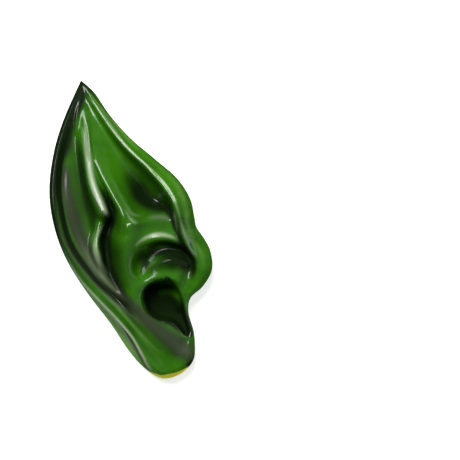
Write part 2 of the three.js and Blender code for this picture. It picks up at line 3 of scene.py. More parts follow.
import bmesh
import bpy
import numpy as np
from bpy.props import FloatProperty, FloatVectorProperty, IntProperty, PointerProperty
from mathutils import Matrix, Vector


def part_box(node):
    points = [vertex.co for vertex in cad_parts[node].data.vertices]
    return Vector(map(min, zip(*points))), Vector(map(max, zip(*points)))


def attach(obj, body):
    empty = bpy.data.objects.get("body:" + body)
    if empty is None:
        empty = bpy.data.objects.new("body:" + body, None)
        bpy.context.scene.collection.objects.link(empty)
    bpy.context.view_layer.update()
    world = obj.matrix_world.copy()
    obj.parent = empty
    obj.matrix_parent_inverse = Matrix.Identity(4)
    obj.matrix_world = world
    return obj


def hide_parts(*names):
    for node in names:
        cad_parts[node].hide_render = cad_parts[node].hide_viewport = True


bl_info = {
    "name": "Elf ear",
    "version": (1, 0, 0),
    "blender": (4, 5, 0),
    "location": "3D View > Sidebar > Elf ear",
    "description": "Builds a painted latex elf ear and the studio that it lies in",
    "category": "Add Mesh",
}

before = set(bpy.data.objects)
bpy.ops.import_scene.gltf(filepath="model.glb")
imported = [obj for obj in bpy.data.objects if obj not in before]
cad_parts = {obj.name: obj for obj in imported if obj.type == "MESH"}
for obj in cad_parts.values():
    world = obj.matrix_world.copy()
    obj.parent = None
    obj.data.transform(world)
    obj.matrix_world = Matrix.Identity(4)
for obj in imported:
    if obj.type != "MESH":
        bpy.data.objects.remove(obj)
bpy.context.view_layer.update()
LOW, HIGH = (np.array(corner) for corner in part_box("ear_shell"))

# Sizes in metres. The frame's box gives the ear's width, length and depth.
CREST_SHARE = 0.93  # how much of the depth that heights are given in lies under the front rim's crest
EAR_WIDTH = HIGH[0] - LOW[0]
EAR_LENGTH = HIGH[1] - LOW[1]
EAR_DEPTH = (HIGH[2] - LOW[2]) / CREST_SHARE

# How the forms blend
CREST_FADE = 1.6  # how fast the rim's crest gives way to the relief inside it
FLAT_TOP = 4  # the power that gives a band its flat top
RING_CROWDING = 1.35  # over 1 sets the rings closer towards the outline
ROW_CROWDING = 1.3  # over 1 sets the back's rows closer towards the outline
SPAN_STEPS = 6  # straight steps in each span of a route
LEAST_HOLLOW = 0.0005  # least height of the hollow between the inner skins
LEAST_FACING = 0.5  # limits the wall where a ray crosses the outline at a slant
CHART_PITCH = 0.0004  # squares of the chart that the inner skin is looked up in
BALL_REACHES = (0.45, 0.8, 0.98)  # rings of points on the ball that keeps the wall's thickness
BALL_STEPS = 12
ARC_SAMPLES = 25  # samples across the arc that keeps the back's thickness
UPRIGHT_FROM = 0.6  # slope of the back in radians from which its trimmed edge starts to lie flat
UPRIGHT_SPAN = 0.4  # radians over which it does so
MERGE_DISTANCE = 1e-7
SHARP_ANGLE = 0.9  # an edge that turns more than this many radians stays crisp


# How the paint lies
OVERSPRAY = 1.5  # how fast the paint thins out behind the outline
DULL_DEPTH = 0.31  # share of the depth under which the gloss fades
DULL_FADE = 0.12  # share of the depth that it fades over
DULL_SLOPE = 0.4  # how the gloss fades from the rim's crest to the outline: under 1 is sooner


# The tables are in thousandths. "across" and "up" are shares of the width and the length, from the rear edge
# and from the lobe. Heights are shares of the depth, other lengths are shares of the width.
def table(columns, rows, unit=1000):
    """Rows of numbers under named columns."""
    return {name: np.array(values, float) / unit for name, values in zip(columns.split(), zip(*rows))}


def tables(columns, named_rows):
    return {name: table(columns, rows) for name, rows in named_rows.items()}


# The outline, from the tip down the rear, round the lobe and up the front to the tip again.
# edge: height of the outline. crest, inset: height of the rolled rim and how far in it lies.
# roll: the rim's width.
# lip: how far behind the trimmed edge lies, as a share of the way in to the middle of the mouth.
# bag: the back's curve on that way, where 1000 is straight and less bulges.
# solid: how many walls thick the casting is before the hollow starts.
# shape: 2000 is an elliptic roll at the outline, more is squarer, 1000 is a plain slope up to the crest.
OUTLINE = table("across up edge crest inset roll lip bag solid shape", [
    (191, 1000, 308, 331, 15, 35, 620, 900, 4500, 2000),
    (145, 945, 338, 431, 20, 38, 600, 760, 2200, 1900),
    (83, 864, 369, 546, 23, 42, 560, 620, 1100, 1800),
    (31, 770, 400, 662, 26, 40, 480, 560, 1000, 1800),
    (0, 642, 423, 762, 27, 40, 370, 550, 1000, 1800),
    (19, 534, 404, 815, 28, 40, 240, 600, 1000, 1800),
    (93, 412, 346, 815, 26, 43, 140, 720, 1000, 1700),
    (228, 291, 269, 738, 31, 49, 90, 850, 1000, 1500),
    (370, 188, 192, 631, 51, 52, 70, 850, 1000, 1300),
    (481, 97, 154, 523, 54, 52, 70, 850, 1000, 1300),
    (574, 40, 138, 435, 47, 56, 60, 850, 1000, 1500),
    (688, 2, 131, 365, 46, 70, 60, 850, 1000, 1900),
    (802, 18, 138, 365, 52, 70, 60, 850, 1000, 2200),
    (880, 64, 150, 385, 49, 70, 60, 850, 1000, 2200),
    (889, 118, 155, 385, 42, 59, 60, 850, 1000, 2200),
    (880, 165, 155, 331, 16, 21, 60, 850, 1000, 2200),
    (849, 225, 160, 346, 15, 21, 60, 850, 1000, 2200),
    (861, 271, 180, 404, 22, 37, 70, 850, 1000, 2200),
    (938, 311, 200, 442, 45, 70, 80, 850, 1000, 2200),
    (994, 366, 215, 481, 52, 87, 80, 850, 1000, 2200),
    (985, 430, 231, 492, 52, 87, 90, 850, 1000, 2200),
    (944, 474, 262, 538, 49, 70, 120, 800, 1000, 2200),
    (900, 509, 365, 673, 52, 63, 170, 700, 1000, 2000),
    (886, 548, 500, 846, 77, 59, 230, 600, 1000, 1800),
    (864, 602, 558, 904, 84, 56, 300, 550, 1000, 1800),
    (787, 669, 562, 838, 80, 49, 390, 550, 1000, 1800),
    (654, 733, 519, 746, 68, 43, 470, 550, 1000, 1800),
    (494, 807, 454, 631, 52, 34, 530, 560, 1000, 1800),
    (361, 889, 377, 500, 39, 31, 570, 620, 1100, 1800),
    (272, 960, 338, 408, 28, 31, 610, 760, 2200, 1900),
    (191, 1000, 308, 331, 15, 35, 620, 900, 4500, 2000),
])
LOBE_ROW = 11  # the outline's lowest row

# The middle line that the rings close on, from the tip to the lobe, and the middle of the mouth behind
SPINE = table("across up", [
    (262, 800),
    (300, 700),
    (377, 585),
    (463, 450),
    (540, 316),
    (610, 180),
    (660, 95),
])
MOUTH = table("across up", [(600, 292)])

# The broad swell under the folds: heights at even steps across, a row for each level up the ear
SWELL_COLUMNS = "up rear rearward middle forward front"
SWELL = table(SWELL_COLUMNS, [
    (0, 269, 308, 327, 346, 327),
    (150, 462, 538, 519, 442, 346),
    (300, 692, 654, 577, 423, 385),
    (450, 750, 650, 720, 680, 462),
    (600, 712, 596, 615, 560, 654),
    (750, 577, 519, 550, 560, 654),
    (900, 423, 404, 404, 385, 385),
    (1000, 346, 346, 346, 346, 346),
])

# Ridges and grooves that are added to the swell. Each is a route with its height and the widths of its two
# sides, to the right and to the left of someone who walks it from its first row.
FOLD_COLUMNS = "across up height right left"
FOLDS = tables(FOLD_COLUMNS, {
    "ridge": [
        (204, 924, 0, 37, 43), (219, 877, 23, 28, 62), (244, 830, 38, 20, 74), (265, 756, 62, 21, 74),
        (315, 686, 88, 22, 68), (370, 625, 115, 25, 62), (423, 571, 131, 31, 65), (463, 531, 108, 49, 68),
        (500, 491, 38, 68, 68),
    ],
    "scapha": [
        (142, 844, 0, 62, 31), (160, 770, -35, 62, 31), (176, 696, -62, 68, 32), (194, 618, -81, 74, 37),
        (228, 541, -96, 86, 43), (256, 481, -108, 86, 37), (272, 434, -108, 80, 31),
        (302, 387, -100, 68, 31), (364, 336, -77, 56, 37), (438, 286, -46, 49, 37), (525, 239, 0, 49, 49),
    ],
    "fork": [
        (253, 770, 0, 10, 10), (275, 716, -10, 11, 11), (306, 669, -27, 15, 15), (338, 629, -77, 19, 19),
        (369, 592, -108, 21, 23), (392, 558, -127, 25, 31), (386, 521, -115, 30, 34),
        (364, 481, 0, 31, 31),
    ],
    "thirdLine": [
        (340, 736, 0, 25, 25), (383, 679, 12, 25, 28), (429, 635, 19, 25, 28), (472, 595, 23, 25, 28),
        (512, 558, 23, 25, 25), (562, 538, 0, 25, 25),
    ],
    "groovePit": [
        (377, 548, 0, 31, 31), (367, 508, -154, 37, 43), (349, 450, -231, 40, 49),
        (361, 393, -200, 37, 49), (407, 333, -92, 37, 43), (481, 272, 0, 37, 37),
    ],
    "lowerCrus": [
        (488, 514, 38, 49, 37), (556, 529, 85, 43, 31), (623, 534, 92, 49, 31), (691, 533, 69, 49, 28),
        (759, 524, 23, 37, 28),
    ],
    "fossa": [
        (290, 884, 0, 49, 49), (340, 824, -27, 56, 56), (401, 770, -69, 62, 68), (463, 723, -108, 74, 74),
        (525, 676, -154, 74, 74), (586, 629, -262, 68, 68), (654, 598, -269, 56, 56),
        (722, 585, -192, 37, 37),
    ],
    "antihelix": [
        (512, 511, 62, 74, 74), (463, 450, 131, 62, 68), (457, 387, 127, 56, 68), (494, 313, 92, 62, 56),
        (568, 249, 54, 56, 37), (673, 198, 31, 49, 31),
    ],
    "rearGroove": [
        (74, 803, 0, 15, 31), (74, 719, -38, 15, 37), (77, 635, -50, 15, 37), (93, 558, -62, 15, 37),
        (120, 494, -69, 15, 37), (167, 437, -73, 15, 37), (228, 383, -73, 15, 31), (296, 336, -69, 15, 25),
        (377, 289, -50, 15, 25), (463, 245, -27, 19, 25), (568, 195, 0, 19, 31),
    ],
    "rearWelt": [
        (43, 770, 0, 15, 12), (40, 669, 27, 15, 12), (59, 561, 35, 15, 12), (93, 494, 38, 16, 12),
        (142, 430, 42, 16, 12), (210, 370, 42, 16, 14), (290, 316, 42, 17, 15), (383, 269, 38, 19, 19),
        (488, 218, 27, 21, 21), (611, 158, 0, 25, 25),
    ],
    "outerBand": [
        (278, 360, 0, 31, 31), (377, 313, 31, 31, 31), (475, 259, 50, 43, 43), (599, 192, 62, 56, 56),
        (747, 121, 54, 62, 56), (846, 77, 0, 56, 56),
    ],
    "lobeFurrow": [
        (253, 339, 0, 22, 22), (346, 286, -31, 25, 25), (451, 222, -46, 28, 28), (556, 145, -46, 34, 34),
        (660, 77, -23, 40, 40), (722, 37, 0, 40, 40),
    ],
    "tipFold": [
        (210, 975, 0, 12, 12), (196, 951, 23, 14, 14), (181, 921, 42, 14, 14), (169, 887, 54, 14, 14),
        (164, 854, 42, 15, 15), (164, 813, 0, 16, 16),
    ],
})

# Welts with a flat top, with the columns of a fold
BANDS = tables(FOLD_COLUMNS, {
    "rearBand": [
        (201, 931, 0, 31, 25), (207, 887, 23, 34, 34), (216, 840, 42, 40, 37), (223, 780, 58, 46, 34),
        (235, 726, 73, 49, 34), (257, 669, 92, 52, 37), (290, 622, 115, 56, 40), (323, 582, 138, 52, 40),
        (346, 555, 138, 49, 34), (364, 524, 0, 31, 25),
    ],
    "scaphaLip": [
        (340, 534, 0, 28, 28), (309, 501, 58, 31, 28), (285, 467, 115, 31, 31), (287, 434, 162, 34, 37),
        (309, 400, 108, 34, 37), (346, 360, 0, 31, 31),
    ],
})

# Creases and beads that follow the rim itself, with the columns of a fold
RIM_FOLDS = tables(FOLD_COLUMNS, {
    "bowlBead": [
        (506, 413, 0, 31, 31), (540, 440, 8, 25, 34), (583, 459, 15, 22, 34), (630, 467, 23, 20, 34),
        (685, 471, 33, 19, 34), (741, 466, 44, 20, 31), (784, 454, 31, 22, 31), (815, 437, 0, 25, 31),
    ],
    "innerCrest": [
        (586, 703, 0, 15, 15), (630, 679, 23, 14, 15), (667, 655, 31, 14, 15), (704, 625, 27, 14, 15),
        (728, 598, 0, 15, 15),
    ],
    "frontCrease": [
        (222, 978, 0, 9, 9), (259, 951, -13, 10, 10), (309, 914, -19, 10, 10), (352, 881, -19, 10, 10),
        (401, 844, -15, 11, 11), (451, 810, 0, 12, 12),
    ],
})

# Hollows: the skin sinks to their floor inside their radius, through an edge of the given softness
HOLLOW_COLUMNS = "across up floor radius softness"
HOLLOWS = tables(HOLLOW_COLUMNS, {
    "concha": [
        (623, 380, 508, 93, 49), (685, 393, 485, 114, 31), (753, 397, 462, 108, 31),
        (802, 393, 442, 90, 31),
    ],
    "canal": [
        (691, 269, 138, 108, 28), (738, 245, 123, 93, 25), (785, 215, 131, 47, 19),
        (817, 185, 154, 28, 15), (840, 160, 192, 19, 14),
    ],
})

# What stands or sinks on the floor of the hollows, with the columns of a fold
FLOOR_FORMS = tables(FOLD_COLUMNS, {
    "lump": [
        (611, 356, 31, 49, 43), (660, 378, 77, 56, 52), (722, 393, 123, 62, 56), (784, 398, 123, 62, 49),
        (840, 393, 54, 43, 37),
    ],
    "shelf": [
        (574, 313, 54, 43, 43), (642, 334, 77, 43, 43), (722, 341, 77, 43, 37), (790, 331, 69, 37, 37),
    ],
    "pit": [
        (846, 424, -58, 31, 25), (877, 393, -85, 28, 25), (864, 363, -69, 25, 25), (827, 336, 0, 25, 25),
    ],
    "canalSlope": [
        (735, 306, 0, 49, 49), (790, 279, 138, 49, 37), (799, 249, 115, 43, 31), (778, 222, 0, 37, 37),
    ],
})

# The front rim's crest, which the skin rises to from both sides, with the columns of a fold
FRONT_CREST = table(FOLD_COLUMNS, [
    (265, 928, 419, 15, 15),
    (327, 877, 488, 16, 19),
    (389, 830, 569, 19, 25),
    (463, 782, 662, 20, 31),
    (537, 745, 738, 21, 40),
    (611, 711, 792, 22, 46),
    (667, 682, 846, 23, 49),
    (716, 645, 904, 25, 49),
    (759, 605, 962, 25, 46),
    (790, 565, 992, 25, 43),
    (809, 524, 962, 25, 37),
    (830, 481, 885, 25, 34),
    (858, 440, 769, 25, 31),
    (901, 407, 654, 28, 31),
    (917, 363, 554, 31, 31),
    (889, 319, 469, 37, 37),
])

# Passes of paint, a layer for each colour, with the widths of a fold's two sides: airbrushed ink, painted
# shade, painted sheen and painted highlights
SPRAY_COLUMNS = "across up strength right left"
SPRAYS = {}
# Airbrushed black, partly the ear's own paint in its hollows and partly painted shade that darkens hollows,
# creases and slopes
SPRAYS["black"] = tables(SPRAY_COLUMNS, {
    "scaphaMid": [
        (154, 803, 0, 37, 37), (154, 736, 280, 56, 56), (167, 669, 360, 68, 62), (204, 595, 320, 74, 62),
        (253, 528, 200, 62, 49), (290, 481, 0, 37, 37),
    ],
    "fossaTop": [
        (352, 871, 0, 25, 25), (414, 797, 120, 49, 49), (475, 743, 200, 62, 62), (549, 696, 250, 62, 62),
        (623, 655, 0, 49, 49),
    ],
    "shelf": [
        (549, 326, 0, 31, 31), (599, 353, 300, 37, 37), (648, 376, 350, 37, 37), (698, 393, 300, 37, 37),
        (772, 393, 300, 37, 37), (821, 380, 0, 31, 31),
    ],
    "lowerGreen": [
        (315, 289, 0, 12, 12), (377, 245, 220, 19, 21), (463, 192, 320, 22, 25), (562, 124, 360, 25, 28),
        (648, 67, 300, 25, 31), (710, 37, 0, 25, 25),
    ],
    "rearEdge": [
        (204, 1018, 600, 12, 12), (148, 948, 800, 12, 12), (93, 867, 800, 15, 15), (37, 753, 600, 16, 16),
        (19, 635, 500, 16, 16), (31, 551, 500, 16, 16), (80, 450, 300, 12, 12), (148, 380, 0, 12, 12),
    ],
    "ridgeFoot": [
        (173, 844, 0, 12, 12), (176, 787, 350, 19, 19), (191, 719, 400, 25, 25), (222, 652, 400, 25, 25),
        (259, 602, 300, 25, 25), (296, 561, 0, 19, 19),
    ],
    "canalFloor": [
        (654, 289, 0, 37, 37), (704, 276, 700, 49, 49), (759, 255, 800, 49, 49), (809, 229, 500, 31, 31),
    ],
    "rightWall": [
        (821, 292, 0, 19, 19), (815, 259, 500, 19, 25), (821, 225, 800, 19, 25), (840, 195, 1000, 16, 25),
        (858, 165, 1000, 14, 19),
    ],
    "upperShade": [
        (401, 743, 0, 56, 56), (469, 696, 350, 62, 62), (519, 659, 400, 62, 62), (568, 629, 300, 62, 62),
    ],
    "shade": [
        (451, 481, 0, 49, 49), (435, 434, 400, 49, 56), (444, 383, 400, 49, 56), (481, 333, 300, 49, 56),
        (549, 286, 0, 49, 49),
    ],
    "canalEdge": [
        (654, 313, 600, 25, 25), (608, 296, 900, 28, 28), (602, 262, 1000, 22, 28),
        (620, 232, 1000, 22, 28), (667, 210, 1000, 22, 28), (741, 193, 1000, 21, 28),
        (796, 171, 1000, 19, 25), (846, 151, 1000, 15, 19),
    ],
    "tip": [
        (191, 998, 1000, 56, 56), (179, 961, 1000, 68, 62), (167, 924, 1000, 74, 56),
        (142, 877, 1000, 80, 34), (117, 834, 1000, 86, 43), (93, 783, 1000, 86, 49),
        (68, 736, 950, 74, 34), (56, 686, 700, 62, 22), (49, 635, 500, 49, 19), (62, 585, 0, 49, 19),
    ],
    "rearRim": [
        (31, 770, 0, 31, 25), (25, 686, 750, 25, 31), (28, 602, 800, 25, 31), (43, 534, 750, 25, 25),
        (71, 477, 700, 22, 22), (111, 427, 600, 22, 22), (173, 373, 500, 22, 19), (247, 319, 400, 19, 19),
        (327, 272, 200, 19, 19), (401, 232, 0, 19, 19),
    ],
    "rearCrease": [
        (62, 783, 600, 15, 15), (65, 686, 900, 15, 15), (68, 618, 950, 15, 15), (83, 558, 1000, 16, 16),
        (105, 501, 1000, 17, 17), (139, 450, 1000, 19, 19), (185, 408, 1000, 20, 20),
        (235, 373, 1000, 20, 20), (290, 336, 1000, 20, 20), (349, 306, 950, 19, 19),
        (414, 274, 800, 19, 19), (481, 242, 500, 19, 19), (543, 208, 0, 19, 19),
    ],
    "groove": [
        (290, 676, 0, 19, 19), (315, 645, 350, 19, 20), (340, 618, 750, 19, 25), (367, 588, 950, 22, 28),
        (383, 558, 1000, 25, 31), (377, 528, 1000, 37, 37), (352, 494, 1000, 43, 43),
        (343, 457, 1000, 40, 49), (346, 420, 1000, 34, 49), (355, 383, 1000, 31, 49),
        (383, 346, 950, 31, 43), (426, 306, 750, 31, 37), (481, 266, 400, 31, 31), (549, 229, 0, 31, 31),
    ],
    "fossa": [
        (463, 703, 0, 49, 49), (506, 662, 450, 62, 56), (556, 625, 950, 68, 56), (611, 598, 1000, 68, 49),
        (673, 585, 1000, 56, 37), (722, 571, 950, 37, 31), (753, 541, 850, 25, 31),
        (775, 508, 850, 22, 25), (802, 471, 800, 22, 22), (827, 437, 850, 25, 22), (864, 403, 900, 25, 22),
        (883, 373, 900, 25, 19), (877, 346, 500, 25, 19), (852, 323, 0, 25, 25),
    ],
    "cap": [
        (549, 373, 0, 31, 25), (586, 403, 600, 31, 25), (630, 424, 850, 37, 25), (679, 432, 1000, 37, 19),
        (735, 434, 1000, 43, 19), (790, 430, 1000, 43, 25), (840, 420, 1000, 37, 25),
        (870, 397, 1000, 31, 31),
    ],
    "ledge": [
        (543, 420, 0, 19, 19), (580, 445, 400, 19, 19), (636, 455, 450, 19, 19), (704, 457, 500, 19, 19),
        (765, 447, 600, 19, 19), (815, 434, 800, 25, 25),
    ],
    "bowlRear": [
        (543, 440, 0, 31, 31), (568, 410, 400, 31, 37), (562, 380, 300, 25, 31), (537, 353, 0, 25, 25),
    ],
    "lumpFold": [
        (617, 407, 0, 12, 12), (596, 387, 700, 15, 15), (574, 366, 700, 15, 15), (556, 346, 0, 12, 12),
    ],
    "lump": [
        (654, 376, 350, 49, 49), (722, 397, 600, 68, 62), (796, 400, 720, 62, 56), (833, 373, 700, 49, 49),
        (815, 343, 500, 37, 37),
    ],
    "canal": [
        (623, 296, 750, 43, 43), (648, 262, 1000, 56, 56), (691, 239, 1000, 62, 68),
        (747, 218, 1000, 49, 62), (796, 195, 1000, 37, 49), (833, 171, 1000, 28, 31),
        (861, 153, 1000, 19, 19),
    ],
    "canalTop": [
        (617, 306, 500, 25, 25), (685, 311, 700, 25, 25), (747, 306, 600, 25, 25), (796, 296, 300, 25, 25),
    ],
    "canalLip": [
        (698, 345, 0, 12, 12), (722, 340, 900, 14, 11), (747, 333, 600, 12, 12), (772, 323, 0, 12, 12),
    ],
    "lobe": [
        (846, 50, 800, 14, 14), (873, 61, 1000, 15, 15),
    ],
    "lowerFold": [
        (377, 215, 0, 11, 11), (438, 185, 400, 11, 11), (481, 155, 700, 11, 11), (519, 118, 800, 12, 12),
        (559, 77, 800, 12, 12), (593, 44, 500, 12, 12), (611, 27, 0, 12, 12),
    ],
    "innerLine": [
        (377, 279, 0, 12, 12), (438, 252, 500, 12, 12), (494, 227, 500, 12, 12), (543, 205, 0, 12, 12),
    ],
    "tipCrease": [
        (247, 968, 700, 10, 10), (290, 934, 600, 10, 10), (340, 897, 550, 10, 10), (389, 857, 500, 10, 10),
        (444, 820, 400, 10, 10), (512, 783, 0, 10, 10),
    ],
    "scaphaFoot": [
        (198, 803, 0, 25, 19), (204, 753, 400, 31, 19), (210, 696, 500, 37, 22), (225, 635, 500, 49, 25),
        (247, 585, 550, 56, 31), (272, 545, 600, 49, 37), (265, 504, 400, 31, 31), (256, 461, 300, 19, 19),
        (265, 413, 0, 19, 19),
    ],
})
# Airbrushed dark violet grey, partly the ear's paint and partly a painted sheen of reflected light on its
# dark slopes
SPRAYS["violet"] = tables(SPRAY_COLUMNS, {
    "scapha": [
        (93, 750, 0, 22, 37), (99, 696, 800, 31, 40), (108, 635, 1000, 37, 49), (130, 568, 1000, 43, 62),
        (167, 501, 1000, 49, 68), (213, 447, 1000, 49, 62), (262, 400, 1000, 49, 56),
        (318, 356, 1000, 43, 49), (383, 316, 1000, 40, 43), (451, 277, 1000, 37, 43),
        (525, 239, 1000, 37, 43), (599, 198, 1000, 49, 56), (679, 161, 1000, 62, 62),
        (759, 128, 1000, 74, 68), (833, 97, 900, 80, 68), (895, 71, 700, 74, 68),
    ],
    "band": [
        (241, 696, 0, 19, 19), (265, 652, 400, 25, 25), (296, 612, 800, 28, 28), (327, 578, 1000, 28, 28),
        (352, 551, 1000, 25, 25), (364, 528, 0, 19, 19),
    ],
    "welt": [
        (40, 686, 0, 9, 9), (43, 602, 500, 10, 10), (68, 528, 600, 10, 10), (99, 471, 700, 11, 11),
        (148, 420, 750, 12, 12), (210, 373, 750, 12, 12), (278, 329, 750, 14, 14), (352, 287, 750, 15, 15),
        (432, 249, 700, 19, 19), (506, 212, 600, 22, 22), (574, 175, 0, 25, 25),
    ],
    "knob": [
        (284, 427, 0, 12, 12), (296, 410, 500, 19, 19), (315, 390, 500, 19, 19), (333, 366, 0, 19, 19),
    ],
    "crus": [
        (599, 541, 0, 19, 19), (648, 543, 500, 25, 25), (704, 541, 600, 25, 25), (747, 534, 0, 19, 19),
    ],
    "outerWall": [
        (204, 306, 0, 9, 9), (265, 259, 700, 11, 11), (333, 212, 700, 12, 12), (395, 165, 500, 12, 12),
        (438, 128, 0, 12, 12),
    ],
    "tipEdge": [
        (302, 941, 0, 7, 7), (377, 884, 500, 8, 8), (451, 837, 500, 8, 8), (549, 787, 0, 8, 8),
    ],
})
# Thin ink on the crests and edges, partly real and partly a painted highlight along crest lines, canal edges
# and outer walls
SPRAYS["thin_ink_and_highlight"] = tables(SPRAY_COLUMNS, {
    "outerWall": [
        (179, 333, 0, 10, 10), (265, 269, 500, 11, 11), (352, 212, 500, 14, 14), (414, 161, 700, 19, 19),
        (463, 124, 900, 25, 25), (512, 87, 900, 22, 22), (568, 47, 400, 19, 19),
    ],
    "frontCrest": [
        (253, 955, 300, 12, 12), (309, 914, 500, 12, 12), (383, 864, 600, 12, 12), (457, 817, 500, 14, 14),
        (537, 773, 300, 14, 14), (611, 736, 200, 15, 15), (722, 686, 300, 19, 19), (796, 635, 400, 25, 25),
        (840, 568, 400, 25, 25), (846, 514, 500, 19, 19), (895, 454, 400, 19, 19), (938, 413, 300, 25, 25),
        (938, 360, 0, 25, 25),
    ],
    "lobeLine": [
        (284, 309, 0, 12, 12), (364, 272, 250, 12, 12), (488, 202, 300, 14, 14), (611, 124, 300, 15, 15),
        (735, 64, 0, 15, 15),
    ],
    "canalEdge": [
        (611, 222, 0, 7, 7), (660, 205, 300, 8, 8), (722, 190, 400, 9, 9), (784, 168, 400, 9, 9),
        (846, 141, 200, 9, 9),
    ],
    "canalRim": [
        (840, 269, 0, 8, 8), (835, 249, 500, 8, 8), (840, 225, 500, 8, 8), (858, 198, 500, 8, 8),
        (872, 175, 400, 8, 8),
    ],
})
# Painted highlights: pale lines and patches on the crests and slopes where the lamps' reflections lie
SPRAYS["sheen"] = tables(SPRAY_COLUMNS, {
    "violetBand": [
        (414, 259, 0, 19, 19), (488, 225, 90, 31, 31), (586, 182, 90, 31, 31), (673, 145, 0, 31, 31),
    ],
    "lobeRight": [
        (710, 138, 0, 31, 31), (784, 114, 140, 43, 43), (846, 94, 180, 43, 43), (889, 81, 100, 31, 31),
    ],
    "lip": [
        (340, 521, 0, 10, 10), (321, 508, 400, 12, 11), (299, 484, 600, 15, 14), (287, 457, 650, 17, 14),
        (290, 434, 700, 20, 17), (300, 413, 700, 22, 19), (312, 393, 500, 19, 16), (333, 373, 250, 19, 16),
        (358, 353, 0, 15, 15),
    ],
    "scapha": [
        (148, 508, 0, 25, 25), (191, 457, 160, 37, 31), (241, 410, 280, 37, 34), (290, 370, 340, 31, 34),
        (346, 333, 300, 28, 28), (414, 296, 200, 25, 25), (488, 259, 0, 19, 19),
    ],
    "ridge": [
        (204, 897, 0, 6, 6), (213, 874, 400, 7, 9), (222, 840, 600, 11, 12), (232, 787, 700, 16, 16),
        (249, 726, 750, 19, 19), (275, 655, 750, 21, 19), (301, 618, 700, 21, 19), (327, 585, 650, 21, 19),
        (355, 555, 500, 19, 16), (373, 534, 0, 15, 12),
    ],
    "frontLine": [
        (216, 955, 0, 6, 6), (272, 921, 500, 6, 6), (358, 861, 550, 6, 6), (463, 787, 500, 7, 7),
        (531, 746, 400, 7, 7), (611, 709, 500, 8, 8), (704, 655, 550, 9, 9), (772, 592, 500, 9, 9),
        (796, 551, 350, 9, 9), (821, 494, 300, 9, 9), (858, 440, 0, 9, 9),
    ],
    "arc": [
        (519, 437, 0, 12, 12), (543, 455, 350, 12, 12), (568, 466, 500, 12, 12), (599, 475, 700, 12, 14),
        (636, 481, 900, 12, 15), (691, 484, 900, 12, 15), (741, 479, 700, 12, 12), (772, 471, 350, 12, 12),
        (796, 457, 0, 12, 12),
    ],
    "lowerCrest": [
        (68, 457, 0, 6, 6), (99, 410, 250, 7, 7), (179, 346, 350, 7, 7), (247, 303, 600, 8, 8),
        (333, 252, 750, 9, 9), (426, 198, 800, 9, 9), (506, 145, 800, 9, 9), (568, 84, 750, 10, 10),
        (605, 44, 600, 11, 11), (636, 24, 0, 12, 12),
    ],
    "crus": [
        (586, 541, 0, 15, 15), (623, 543, 250, 17, 17), (679, 543, 350, 19, 19), (722, 539, 300, 16, 16),
        (753, 531, 0, 12, 12),
    ],
    "third": [
        (358, 696, 0, 9, 9), (395, 659, 150, 10, 10), (438, 615, 200, 10, 10), (481, 575, 250, 10, 10),
        (512, 553, 350, 11, 11), (549, 548, 250, 11, 11), (586, 548, 0, 11, 11),
    ],
    "fork": [
        (451, 582, 0, 7, 7), (478, 556, 350, 8, 8), (506, 533, 500, 9, 9), (534, 524, 450, 9, 9),
        (549, 533, 0, 8, 8),
    ],
    "welt": [
        (56, 575, 0, 7, 7), (86, 481, 120, 9, 9), (142, 420, 160, 10, 10), (228, 356, 180, 11, 11),
        (327, 296, 180, 12, 12), (438, 242, 140, 12, 12), (537, 192, 0, 12, 12),
    ],
    "outerWall": [
        (216, 303, 0, 7, 7), (284, 252, 300, 9, 9), (358, 198, 350, 10, 10), (426, 141, 400, 12, 12),
        (475, 104, 350, 12, 12), (531, 67, 0, 12, 12),
    ],
    "lobeLine": [
        (278, 313, 0, 10, 10), (377, 266, 160, 11, 11), (488, 202, 200, 12, 12), (611, 124, 200, 14, 14),
        (722, 67, 0, 14, 14),
    ],
    "streak": [
        (759, 571, 0, 7, 7), (769, 545, 400, 10, 10), (781, 511, 300, 8, 8), (787, 481, 0, 8, 8),
    ],
    "shelf": [
        (531, 336, 0, 10, 10), (568, 353, 200, 11, 11), (599, 375, 220, 11, 11), (642, 393, 200, 10, 10),
        (679, 403, 0, 10, 10),
    ],
})
